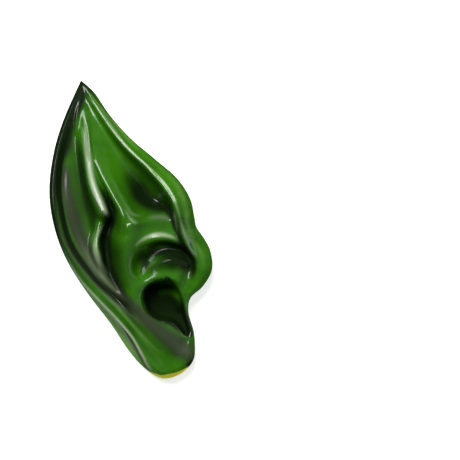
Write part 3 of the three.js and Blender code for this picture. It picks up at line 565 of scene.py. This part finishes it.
SPRAYS["matt"] = tables(SPRAY_COLUMNS, {
    "bowlRight": [
        (858, 420, 0, 25, 25), (889, 393, 800, 25, 25), (898, 363, 800, 25, 25), (883, 329, 0, 25, 25),
    ],
    "rearEdge": [
        (204, 1018, 800, 25, 25), (148, 948, 900, 21, 21), (93, 867, 900, 19, 19), (40, 766, 900, 19, 19),
        (12, 649, 900, 19, 19), (22, 551, 800, 19, 19), (68, 454, 500, 19, 19), (142, 373, 0, 19, 19),
    ],
    "tip": [
        (216, 1032, 800, 37, 37), (253, 998, 1000, 37, 37), (290, 965, 1000, 31, 31),
        (327, 934, 700, 25, 25), (364, 908, 0, 19, 19),
    ],
    "bowlLeft": [
        (549, 333, 0, 31, 31), (535, 363, 900, 31, 31), (528, 397, 1000, 31, 31), (540, 427, 1000, 31, 31),
        (574, 448, 1000, 27, 31), (623, 458, 1000, 21, 30), (698, 459, 1000, 19, 30),
        (753, 450, 900, 19, 30), (802, 437, 0, 19, 25),
    ],
    "ridgeLeft": [
        (191, 894, 0, 19, 19), (198, 861, 800, 19, 21), (204, 803, 900, 21, 21), (219, 736, 900, 21, 21),
        (247, 662, 800, 21, 21), (296, 585, 400, 19, 19), (321, 555, 0, 19, 19),
    ],
    "frontSlope": [
        (290, 941, 300, 19, 19), (358, 897, 600, 21, 21), (451, 837, 700, 25, 25), (549, 780, 700, 25, 25),
        (648, 733, 600, 25, 25), (747, 679, 500, 25, 25), (815, 625, 400, 25, 25), (846, 568, 0, 25, 25),
    ],
    "shelf": [
        (549, 326, 0, 31, 31), (593, 353, 800, 37, 37), (636, 380, 800, 37, 37), (673, 407, 400, 31, 31),
    ],
    "groove": [
        (321, 568, 0, 25, 25), (355, 528, 900, 31, 37), (352, 487, 1000, 31, 49), (352, 440, 1000, 31, 49),
        (364, 393, 1000, 37, 49), (401, 339, 1000, 43, 49), (451, 296, 900, 43, 43),
        (525, 255, 400, 31, 31), (586, 225, 0, 31, 31),
    ],
    "bowl": [
        (556, 373, 0, 37, 37), (586, 403, 800, 37, 37), (636, 420, 900, 43, 31), (691, 424, 1000, 56, 28),
        (759, 424, 1000, 56, 28), (821, 413, 800, 43, 31), (858, 393, 300, 31, 31),
    ],
    "lump": [
        (611, 360, 500, 43, 43), (673, 380, 900, 56, 56), (741, 387, 700, 56, 56), (796, 373, 300, 43, 43),
    ],
})
SPRAYS["bare"] = tables(SPRAY_COLUMNS, {
    "lobeEdge": [
        (605, 27, 400, 12, 16), (648, 12, 950, 15, 20), (685, 6, 1000, 19, 23), (747, 11, 1000, 19, 23),
        (802, 21, 1000, 15, 20), (846, 37, 800, 12, 15), (870, 52, 0, 11, 11),
    ],
})

HEIGHTS = ("height", "floor", "edge", "crest")
PLAIN = ("lip", "bag", "solid", "shape", "strength")


def sized(rows):
    """A table with its places and lengths in metres, centred on the ear's box."""
    line = {
        "x": (LOW[0] + HIGH[0]) / 2 + (rows["across"] - 0.5) * EAR_WIDTH,
        "y": (LOW[1] + HIGH[1]) / 2 + (rows["up"] - 0.5) * EAR_LENGTH,
    }
    for name, share in rows.items():
        if name in PLAIN:
            line[name] = share
        elif name in HEIGHTS:
            line[name] = share * EAR_DEPTH
        elif name not in ("across", "up"):
            line[name] = share * EAR_WIDTH
    return line


def route(rows, steps=SPAN_STEPS):
    """A smooth line through a table's rows: a centripetal Catmull-Rom spline in every column."""
    line = sized(rows)
    values = np.array(list(line.values()))
    before, after = 2 * values[:, 0] - values[:, 1], 2 * values[:, -1] - values[:, -2]
    values = np.column_stack([before, values, after])
    knots = np.sqrt(np.hypot(*np.diff(values[:2])))
    t = np.arange(steps) / steps
    spans = []
    for i in range(1, values.shape[1] - 2):
        p0, p1, p2, p3 = values[:, i - 1:i + 3].T[:, :, None]
        first, span, last = knots[i - 1:i + 2]
        leave = span * ((p1 - p0) / first - (p2 - p0) / (first + span) + (p2 - p1) / span)
        arrive = span * ((p2 - p1) / span - (p3 - p1) / (span + last) + (p3 - p2) / last)
        square = 3 * (p2 - p1) - 2 * leave - arrive
        cube = 2 * (p1 - p2) + leave + arrive
        spans.append(p1 + leave * t + square * t**2 + cube * t**3)
    spans.append(values[:, -2:-1])
    return dict(zip(line, np.hstack(spans)))


def part_of(line, start, end):
    return {name: values[start:end] for name, values in line.items()}


def at_shares(line, shares):
    """The points of a line at shares of its length."""
    runs = np.concatenate([[0], np.cumsum(np.hypot(np.diff(line["x"]), np.diff(line["y"])))])
    return {name: np.interp(shares * runs[-1], runs, values) for name, values in line.items()}


def nearest(line, x, y):
    """For each place, a line's columns at the nearest point, its distance, and the side of the place."""
    best = np.full(x.shape, np.inf)
    index = np.zeros(x.shape, int)
    share = np.zeros(x.shape)
    left = np.zeros(x.shape, bool)
    for i in range(len(line["x"]) - 1):
        dx, dy = line["x"][i + 1] - line["x"][i], line["y"][i + 1] - line["y"][i]
        px, py = x - line["x"][i], y - line["y"][i]
        along = np.clip((px * dx + py * dy) / (dx * dx + dy * dy), 0, 1)
        square = (px - along * dx)**2 + (py - along * dy)**2
        near = square < best
        best[near], index[near], share[near] = square[near], i, along[near]
        left[near] = (dx * py - dy * px)[near] > 0
    at = {name: values[index] * (1 - share) + values[index + 1] * share for name, values in line.items()}
    return {**at, "distance": np.sqrt(best), "on_left": left}


def bell(at, power=2):
    """1 on a route, falling off to both sides with their own widths. A higher power has a flatter top."""
    return np.exp(-(at["distance"] / np.where(at["on_left"], at["left"], at["right"]))**power)


def mix(a, b, share):
    return a + (b - a) * share


def through(stations, values, at):
    """A Catmull-Rom spline through values at rising stations, read at each place in its own column."""
    last = len(stations) - 1
    at = np.clip(at, stations[0], stations[-1])
    i = np.clip(np.searchsorted(stations, at, side="right") - 1, 0, last - 1)
    t = (at - stations[i]) / (stations[i + 1] - stations[i])
    p0, p1, p2, p3 = (values[np.clip(i + k, 0, last), np.arange(len(at))] for k in (-1, 0, 1, 2))
    square = 2 * p0 - 5 * p1 + 4 * p2 - p3
    return p1 + 0.5 * t * (p2 - p0 + t * (square + t * (3 * (p1 - p2) + p3 - p0)))


def swell(x, y):
    across = (x - LOW[0]) / EAR_WIDTH
    up = (y - LOW[1]) / EAR_LENGTH
    columns = np.array([SWELL[name] for name in SWELL_COLUMNS.split()[1:]])
    stations = np.linspace(0, 1, len(columns))
    levels = []
    for heights in columns.T:
        levels.append(through(stations, np.repeat(heights[:, None], len(x), axis=1), across))
    return EAR_DEPTH * through(SWELL["up"], np.array(levels), up)


def relief(x, y):
    """Height of the outer skin's front inside the rim."""
    z = swell(x, y)
    for rows in FOLDS.values():
        at = nearest(route(rows), x, y)
        z += at["height"] * bell(at)
    for rows in BANDS.values():
        at = nearest(route(rows), x, y)
        z += at["height"] * bell(at, FLAT_TOP)
    for rows in HOLLOWS.values():
        at = nearest(route(rows), x, y)
        inside = 1 / (1 + np.exp(np.clip(4 * (at["distance"] - at["radius"]) / at["softness"], -40, 40)))
        z = mix(z, at["floor"], inside)
    for rows in FLOOR_FORMS.values():
        at = nearest(route(rows), x, y)
        z += at["height"] * bell(at)
    crest = nearest(route(FRONT_CREST), x, y)
    return mix(z, crest["height"], bell(crest))


def front(x, y):
    """Height of the outer skin's front: the relief, blended into the rolled rim along the outline."""
    rim = nearest(route(OUTLINE), x, y)
    past = np.maximum(rim["distance"] - rim["inset"], 0) / rim["roll"]
    z = mix(relief(x, y), rim["crest"], np.exp(-CREST_FADE * past**2))
    for rows in RIM_FOLDS.values():
        at = nearest(route(rows), x, y)
        z += at["height"] * bell(at)
    climb = np.minimum(rim["distance"] / rim["inset"], 1)
    return mix(rim["edge"], z, (1 - (1 - climb)**rim["shape"])**(1 / rim["shape"]))


class FrontChart:
    """The front's height on an even grid, in which the inner skin looks up what it lies under."""

    def __init__(self, wall):
        self.wall = wall
        margin = 2 * wall
        self.start = LOW[:2] - margin
        across, up = (np.arange(self.start[k], HIGH[k] + margin, CHART_PITCH) for k in (0, 1))
        x, y = np.meshgrid(across, up)
        self.heights = front(x.ravel(), y.ravel()).reshape(x.shape)

    def look_up(self, x, y):
        rows, columns = self.heights.shape
        across = np.clip((x - self.start[0]) / CHART_PITCH, 0, columns - 1.001)
        up = np.clip((y - self.start[1]) / CHART_PITCH, 0, rows - 1.001)
        i, j = across.astype(int), up.astype(int)
        low = mix(self.heights[j, i], self.heights[j, i + 1], across - i)
        high = mix(self.heights[j + 1, i], self.heights[j + 1, i + 1], across - i)
        return mix(low, high, up - j)

    def under(self, x, y):
        """The lowest height that keeps a ball as big as the wall inside the latex."""
        lowest = self.look_up(x, y) - self.wall
        for reach in BALL_REACHES:
            for turn in np.arange(BALL_STEPS) * 2 * np.pi / BALL_STEPS:
                dx, dy = reach * self.wall * np.cos(turn), reach * self.wall * np.sin(turn)
                drop = self.wall * np.sqrt(1 - reach**2)
                lowest = np.minimum(lowest, self.look_up(x + dx, y + dy) - drop)
        return lowest


class BackRays:
    """The back along rays that run from the outline in towards the middle of the mouth."""

    def __init__(self, outline, wall):
        self.outline, self.wall = outline, wall
        mouth = sized(MOUTH)
        dx, dy = mouth["x"] - outline["x"], mouth["y"] - outline["y"]
        length = np.hypot(dx, dy)
        self.way = dx / length, dy / length
        ahead = [np.roll(outline[axis], -1) - np.roll(outline[axis], 1) for axis in "xy"]
        slant = np.abs(self.way[0] * ahead[1] - self.way[1] * ahead[0]) / np.hypot(*ahead)
        self.across_wall = wall / np.maximum(slant, LEAST_FACING)
        self.lip = outline["lip"] * length
        slope = np.arctan2(outline["edge"] * outline["bag"], self.lip)
        upright = np.clip((slope - UPRIGHT_FROM) / UPRIGHT_SPAN, 0, 1)
        upright = upright * upright * (3 - 2 * upright)
        self.trim = self.lip + self.across_wall * np.sin(slope)
        self.trim_height = wall * np.cos(slope) * (1 - upright)
        self.start = self.across_wall * outline["solid"]

    def place(self, along):
        return self.outline["x"] + self.way[0] * along, self.outline["y"] + self.way[1] * along

    def height(self, along):
        return self.outline["edge"] * (1 - np.clip(along / self.lip, 0, 1)**self.outline["bag"])

    def over(self, along):
        """Height of the inner skin's back over the outer one."""
        highest = np.full(along.shape, -np.inf)
        for k in np.linspace(-1, 1, ARC_SAMPLES):
            there = along + k * self.across_wall
            height = self.height(there) + self.wall * np.sqrt(1 - k * k)
            highest = np.where(there <= self.lip + 1e-9, np.maximum(highest, height), highest)
        return highest


def crowded(count, crowding):
    """Shares from 0 to 1 that lie closer towards 1."""
    return 1 - (1 - np.arange(count + 1) / count)**crowding


def skin_rings(sizes):
    """The closed skin as rings of points, and what each ring belongs to.

    The front runs from the spine out, the back in to the trimmed edge, the inner skin back to the spine.
    """
    line = route(OUTLINE)
    turn = LOBE_ROW * SPAN_STEPS
    even = np.arange(sizes.side_rays) / sizes.side_rays
    rear, fore = at_shares(part_of(line, 0, turn + 1), even), at_shares(part_of(line, turn, None), even)
    outline = {name: np.concatenate([rear[name], fore[name]]) for name in line}
    steps = np.arange(2 * sizes.side_rays)
    steps = np.minimum(steps, 2 * sizes.side_rays - steps)
    spine = at_shares(route(SPINE), 0.5 - 0.5 * np.cos(np.pi * steps / sizes.side_rays))
    rays = BackRays(outline, sizes.wall)
    chart = FrontChart(sizes.wall)
    rings, kinds, depths = [], [], []

    def add(x, y, z, kind, depth):
        rings.append(np.stack([x, y, z], axis=-1))
        kinds.append(kind)
        depths.append(depth)

    for share in crowded(sizes.front_rings, RING_CROWDING):
        x, y = mix(spine["x"], outline["x"], share), mix(spine["y"], outline["y"], share)
        add(x, y, outline["edge"] if share == 1 else front(x, y), "front", 0)
    for step in range(1, sizes.back_rows + 1):
        along = rays.lip * (step / sizes.back_rows)**ROW_CROWDING
        add(*rays.place(along), rays.height(along), "back", step / sizes.back_rows)
    for step in range(sizes.inner_rows, 0, -1):
        along = mix(rays.start, rays.trim, (step / sizes.inner_rows)**ROW_CROWDING)
        x, y = rays.place(along)
        z = np.minimum(rays.over(along), chart.under(x, y) - LEAST_HOLLOW)
        add(x, y, rays.trim_height if step == sizes.inner_rows else z, "inside", step / sizes.inner_rows)
    start_x, start_y = rays.place(rays.start)
    for share in crowded(sizes.inner_rings, RING_CROWDING)[::-1]:
        x, y = mix(spine["x"], start_x, share), mix(spine["y"], start_y, share)
        under = chart.under(x, y)
        add(x, y, (under + rays.over(rays.start)) / 2 if share == 1 else under, "inside", 0)
    return np.array(rings), kinds, np.array(depths)


def sprayed(passes, x, y):
    """How much of the skin a layer of paint hides: each pass adds to what is there."""
    open_share = np.ones(x.shape)
    for rows in passes.values():
        at = nearest(route(rows), x, y)
        open_share *= 1 - np.clip(at["strength"] * bell(at), 0, 1)
    return 1 - open_share


def paint_layers(rings, kinds, depths):
    """Every layer's share at every point of the rings. Behind the outline the paint thins out."""
    kinds = np.array(kinds)
    fronts = kinds == "front"
    x, y = rings[fronts, :, 0], rings[fronts, :, 1]
    behind = kinds == "back"
    layers = {}
    for name, passes in SPRAYS.items():
        layer = np.zeros(rings.shape[:2])
        layer[fronts] = sprayed(passes, x.ravel(), y.ravel()).reshape(x.shape)
        layer[behind] = layer[fronts][-1] * (1 - depths[behind, None])**OVERSPRAY
        layers[name] = layer
    layers["behind"] = np.where(behind, depths, 0.0)[:, None] * np.ones(rings.shape[1])
    layers["inside"] = np.where(kinds == "inside", 1.0, 0.0)[:, None] * np.ones(rings.shape[1])
    rim = nearest(route(OUTLINE), x.ravel(), y.ravel())
    slope = 1 - np.minimum(rim["distance"] / rim["inset"], 1).reshape(x.shape)
    sunk = np.clip(DULL_DEPTH - rings[fronts, :, 2] / EAR_DEPTH, 0, DULL_FADE) / DULL_FADE
    layers["dull"] = np.ones(rings.shape[:2])
    layers["dull"][fronts] = np.maximum(slope**DULL_SLOPE, sunk)
    return layers


def closed_skin(rings, layers):
    """A flat sheet of rays and rings, moved into place by points and sewn up along its seam and spine."""
    ring_count, ray_count = rings.shape[:2]
    mesh = bmesh.new()
    bmesh.ops.create_grid(mesh, x_segments=ray_count, y_segments=ring_count - 1, size=1)
    paint = {name: mesh.verts.layers.float.new(name) for name in layers}
    for vertex in mesh.verts:
        ray = round((vertex.co.x + 1) / 2 * ray_count) % ray_count
        ring = round((vertex.co.y + 1) / 2 * (ring_count - 1))
        vertex.co = rings[ring, ray]
        for name, layer in paint.items():
            vertex[layer] = layers[name][ring, ray]
    bmesh.ops.remove_doubles(mesh, verts=mesh.verts, dist=MERGE_DISTANCE)
    bmesh.ops.recalc_face_normals(mesh, faces=mesh.faces)
    for face in mesh.faces:
        face.smooth = True
    for edge in mesh.edges:
        edge.smooth = edge.calc_face_angle(0) < SHARP_ANGLE
    return mesh


def as_object(mesh, name, *materials):
    data = bpy.data.meshes.new(name)
    mesh.to_mesh(data)
    mesh.free()
    for material in materials:
        data.materials.append(material)
    made = bpy.data.objects.new(name, data)
    bpy.context.scene.collection.objects.link(made)
    return made


class Shade:
    """A number that a finish works out from others, written as plain arithmetic."""

    def __init__(self, finish, socket):
        self.finish, self.socket = finish, socket

    def math(self, operation, *values):
        return self.finish.node("ShaderNodeMath", {"operation": operation}, dict(enumerate(values)))

    def __add__(self, other):
        return self.math("ADD", self, other)

    def __sub__(self, other):
        return self.math("SUBTRACT", self, other)

    def __rsub__(self, other):
        return self.math("SUBTRACT", other, self)

    def __mul__(self, other):
        return self.math("MULTIPLY", self, other)

    def within(self, low, high):
        """0 up to low, 1 from high, smooth between."""
        values = {"Value": self, "From Min": low, "From Max": high}
        return self.finish.node("ShaderNodeMapRange", {"interpolation_type": "SMOOTHSTEP"}, values)

    __radd__ = __add__
    __rmul__ = __mul__


class Finish:
    """A material under construction."""

    def __init__(self, name):
        self.material = bpy.data.materials.new(name)
        self.material.use_nodes = True
        self.tree = self.material.node_tree
        self.shader = self.tree.nodes["Principled BSDF"]

    def node(self, kind, settings=None, sockets=None, output=0):
        """Any node: its settings first, then the values or links of its sockets."""
        made = self.tree.nodes.new(kind)
        for name, value in (settings or {}).items():
            setattr(made, name, value)
        for key, value in (sockets or {}).items():
            self.feed(made.inputs[key], value)
        return Shade(self, made.outputs[output])

    def feed(self, socket, value):
        if isinstance(value, Shade):
            self.tree.links.new(value.socket, socket)
        else:
            socket.default_value = value

    def places(self):
        return self.node("ShaderNodeTexCoord", output="Object")

    def noise(self, size, detail, roughness=0.55):
        """Noise whose lumps are about as wide as size, in metres."""
        values = {"Vector": self.places(), "Scale": 1 / size, "Detail": detail, "Roughness": roughness}
        return self.node("ShaderNodeTexNoise", {"normalize": True}, values, "Fac")

    def layer(self, name):
        """A layer of paint that the skin's points hold."""
        return self.node("ShaderNodeAttribute", {"attribute_name": name}, output="Fac")

    def blend(self, under, over, share):
        sockets = {0: share, 6: under, 7: over}
        return self.node("ShaderNodeMix", {"data_type": "RGBA"}, sockets, 2)

    def bump(self, height, distance, strength, normal=None):
        sockets = {"Height": height, "Distance": distance, "Strength": strength}
        if normal:
            sockets["Normal"] = normal
        return self.node("ShaderNodeBump", {}, sockets)

    def surface(self, **sockets):
        """Feeds the shader, whose sockets are named here with _ for a space."""
        for name, value in sockets.items():
            self.feed(self.shader.inputs[name.replace("_", " ")], value)
        return self.material


def opaque(colour):
    return (*colour, 1.0)


# Widths of the lumps in the ink and heights of the bumps that they leave, in metres
CLOUD_WIDTH, MOTTLE_WIDTH, SPECK_WIDTH = 0.013, 0.0022, 0.0006
CLOUD_BUMP, MOTTLE_BUMP = 0.0002, 0.00005
MOTTLE_WEAR, SPECK_WEAR = 0.22, 0.16  # how much the lumps wear the edges of the sprays
VARNISH = 0.6  # the coat's weight where the skin is glossy
MATT_SHARE = 0.85  # how much of the gloss the matt sprays take away
# Each sprayed layer, airbrushed ink that also paints shade and sheen: its colour, the strengths between
# which it covers the skin, and how much it hides
AIRBRUSH_AND_PAINTED_LIGHT = (
    ("behind", "thin_green", 0.0, 1.0, 0.55),
    ("violet", "violet", 0.12, 0.95, 0.85),
    ("black", "black", 0.08, 0.85, 0.94),
)


def painted_latex(colours):
    """Green ink over cream latex under a glossy varnish, airbrushed with black and violet that also paint
    shade and sheen, with painted highlights.
    """
    finish = Finish("painted_latex")
    broad = finish.noise(CLOUD_WIDTH, 2.0)
    fine = finish.noise(MOTTLE_WIDTH, 4.0, 0.6)
    speck = finish.noise(SPECK_WIDTH, 2.0, 0.6)
    pooling = (broad * 0.7 + fine * 0.3).within(0.3, 0.68)
    colour = finish.blend(opaque(colours.deep_green), opaque(colours.leaf_green), pooling)
    # Thin ink along the crests, partly a painted highlight
    thin_ink_and_highlight = (finish.layer("thin_ink_and_highlight") * (0.75 + fine * 0.5)).within(0.0, 1.0)
    colour = finish.blend(colour, opaque(colours.thin_ink_and_highlight_green), thin_ink_and_highlight)
    edge = (fine - 0.5) * MOTTLE_WEAR + (speck - 0.5) * SPECK_WEAR
    for layer, paint, low, high, cover in AIRBRUSH_AND_PAINTED_LIGHT:
        share = (finish.layer(layer) + edge).within(low, high) * cover
        colour = finish.blend(colour, opaque(getattr(colours, paint)), share)
    # Painted highlights in a pale colour
    sheen = (finish.layer("sheen") * (0.9 + fine * 0.2)).within(0.0, 1.0)
    colour = finish.blend(colour, opaque(colours.sheen), sheen)
    bare = (finish.layer("bare") + edge).within(0.35, 0.75)
    colour = finish.blend(colour, opaque(colours.yellow_latex), bare)
    stains = (broad * 0.5 + fine * 0.5).within(0.4, 0.7)
    cream = finish.blend(opaque(colours.cream_latex), opaque(colours.yellow_latex), stains)
    colour = finish.blend(colour, cream, (finish.layer("inside") + edge).within(0.4, 0.6))
    gloss = 1 - (finish.layer("dull") + finish.layer("matt") * MATT_SHARE).within(0.0, 1.0)
    grain = finish.bump(broad, CLOUD_BUMP, 0.5)
    grain = finish.bump(fine, MOTTLE_BUMP, 0.5, grain)
    return finish.surface(
        Base_Color=colour,
        Roughness=0.6 - fine * 0.1,
        Specular_IOR_Level=0.0,
        Coat_Weight=gloss * VARNISH,
        Coat_Roughness=0.19,
        Normal=grain,
    )


def floor_finish(colour):
    finish = Finish("floor")
    soft = finish.noise(0.2, 2.0)
    shade = finish.blend(opaque(colour), opaque([0.98 * value for value in colour]), soft)
    return finish.surface(
        Base_Color=shade,
        Roughness=0.9,
        Specular_IOR_Level=0.0,
        Emission_Color=shade,
        Emission_Strength=FLOOR_GLOW,
    )


def length(name, description, metres):
    return FloatProperty(name=name, description=description, default=metres, unit="LENGTH")


def count(name, description, number):
    return IntProperty(name=name, description=description, default=number)


def paint_colour(name, description, colour):
    texts = {"name": name, "description": description, "subtype": "COLOR"}
    return FloatVectorProperty(**texts, default=colour, min=0, max=1)


class EarSizes(bpy.types.PropertyGroup):
    wall: length("Wall", "Thickness of the latex", 0.0018)
    side_rays: count("Rays", "Rays on each side of the ear, from tip to lobe", 200)
    front_rings: count("Front rings", "Rings from the spine to the outline", 100)
    back_rows: count("Back rows", "Rows from the outline to the trimmed edge", 16)
    inner_rows: count("Inner rows", "Rows of the inner back", 8)
    inner_rings: count("Inner rings", "Rings of the inner front", 36)


class PaintColours(bpy.types.PropertyGroup):
    leaf_green: paint_colour("Leaf green", "Ink on the raised forms", (0.03, 0.146, 0.003))
    deep_green: paint_colour("Deep green", "Ink where it pooled", (0.017, 0.084, 0.002))
    # Thin ink on the crests, lightened further as a painted highlight
    thin_ink_and_highlight_green: paint_colour("Rubbed green", "Thin ink along the crests", (0.13, 0.30, 0.055))
    thin_green: paint_colour("Thin green", "Thin ink on the outer walls", (0.10, 0.14, 0.045))
    # Dark violet grey paint that also carries a painted sheen of reflected light
    violet: paint_colour("Violet grey", "Airbrushed band round the rear", (0.029, 0.029, 0.021))
    black: paint_colour("Black", "Airbrushed shade in the hollows", (0.004, 0.006, 0.003))
    # Colour of the painted highlights on the crests
    sheen: paint_colour("Sheen", "Pale dry brushed lights on the crests", (0.27, 0.36, 0.2))
    yellow_latex: paint_colour("Yellow latex", "Bare latex stained by the ink", (0.58, 0.60, 0.045))
    cream_latex: paint_colour("Cream latex", "Bare latex inside", (0.55, 0.46, 0.24))


class StudioSettings(bpy.types.PropertyGroup):
    camera_height: length("Camera height", "Above the floor", 1.2)
    floor_colour: paint_colour("Floor", "Colour of the floor", (0.82, 0.82, 0.82))
    floor_size: length("Floor size", "Side of the floor", 4.0)


class ELFEAR_OT_skin(bpy.types.Operator):
    """Builds the hollow painted skin of the ear over its frame"""

    bl_idname = "elfear.skin"
    bl_label = "Latex skin"

    def execute(self, context):
        sizes, colours = context.scene.elf_ear_sizes, context.scene.elf_ear_paint
        rings, kinds, depths = skin_rings(sizes)
        mesh = closed_skin(rings, paint_layers(rings, kinds, depths))
        skin = as_object(mesh, "ear_skin", painted_latex(colours))
        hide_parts("ear_shell")
        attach(skin, "root")
        return {"FINISHED"}


# Camera and lights
PHOTO_PIXELS = 460
PHOTO_PITCH = EAR_LENGTH / 297.5  # metres for each pixel of the photograph
EAR_MIDDLE_PIXEL = 132  # the ear's middle, in pixels from the photograph's left edge
SENSOR = 36.0
FLOOR_GLOW = 0.85
LIGHT_COLUMNS = "x y z width height watts"  # in metres from the ear, and in watts
LIGHTS = {
    "main_softbox": (-0.18, 0.45, 0.81, 0.46, 0.46, 13),
    "side_panel": (0.75, 0.0, 0.65, 1.9, 1.9, 3.2),
}
WORLD_COLOUR = (0.35, 0.33, 0.36)
WORLD_STRENGTH = 0.14


def softbox(name, light):
    light = dict(zip(LIGHT_COLUMNS.split(), light))
    data = bpy.data.lights.new(name, "AREA")
    data.shape = "RECTANGLE"
    data.size, data.size_y = light["width"], light["height"]
    data.energy = light["watts"]
    made = bpy.data.objects.new(name, data)
    made.location = [light[axis] for axis in "xyz"]
    made.rotation_mode = "QUATERNION"
    made.rotation_quaternion = (-made.location).to_track_quat("-Z", "Y")
    bpy.context.scene.collection.objects.link(made)


class ELFEAR_OT_studio(bpy.types.Operator):
    """Sets up the pale floor, the softboxes and a camera that looks straight down"""

    bl_idname = "elfear.studio"
    bl_label = "Studio"

    def execute(self, context):
        scene, studio = context.scene, context.scene.elf_ear_studio
        mesh = bmesh.new()
        bmesh.ops.create_grid(mesh, x_segments=1, y_segments=1, size=studio.floor_size / 2)
        floor = as_object(mesh, "floor", floor_finish(studio.floor_colour))
        data = bpy.data.cameras.new("camera")
        data.sensor_width = SENSOR
        data.lens = SENSOR * studio.camera_height / (PHOTO_PIXELS * PHOTO_PITCH)
        camera = bpy.data.objects.new("camera", data)
        camera.location = ((PHOTO_PIXELS / 2 - EAR_MIDDLE_PIXEL) * PHOTO_PITCH, 0, studio.camera_height)
        scene.collection.objects.link(camera)
        scene.camera = camera
        for name, light in LIGHTS.items():
            softbox(name, light)
        scene.world = bpy.data.worlds.new("studio")
        scene.world.use_nodes = True
        sky = scene.world.node_tree.nodes["Background"]
        sky.inputs["Color"].default_value = opaque(WORLD_COLOUR)
        sky.inputs["Strength"].default_value = WORLD_STRENGTH
        scene.view_settings.view_transform = "Standard"
        return {"FINISHED"}


class ELFEAR_PT_sidebar(bpy.types.Panel):
    """Lists the ear's pieces and its studio"""

    bl_idname = "ELFEAR_PT_sidebar"
    bl_label = "Elf ear"
    bl_space_type = "VIEW_3D"
    bl_region_type = "UI"
    bl_category = "Elf ear"

    def draw(self, context):
        for group, kind in PROPERTY_GROUPS.items():
            for name in kind.__annotations__:
                self.layout.prop(getattr(context.scene, group), name)
        for operator in OPERATORS:
            self.layout.operator(operator.bl_idname)


OPERATORS = (ELFEAR_OT_skin, ELFEAR_OT_studio)
PROPERTY_GROUPS = {
    "elf_ear_sizes": EarSizes,
    "elf_ear_paint": PaintColours,
    "elf_ear_studio": StudioSettings,
}


def register():
    for kind in (*PROPERTY_GROUPS.values(), *OPERATORS, ELFEAR_PT_sidebar):
        bpy.utils.register_class(kind)
    for group, kind in PROPERTY_GROUPS.items():
        setattr(bpy.types.Scene, group, PointerProperty(type=kind))


def unregister():
    for group in PROPERTY_GROUPS:
        delattr(bpy.types.Scene, group)
    for kind in (ELFEAR_PT_sidebar, *OPERATORS, *PROPERTY_GROUPS.values()):
        bpy.utils.unregister_class(kind)


def main():
    register()
    bpy.ops.elfear.skin()
    bpy.ops.elfear.studio()


if __name__ == "__main__":
    main()
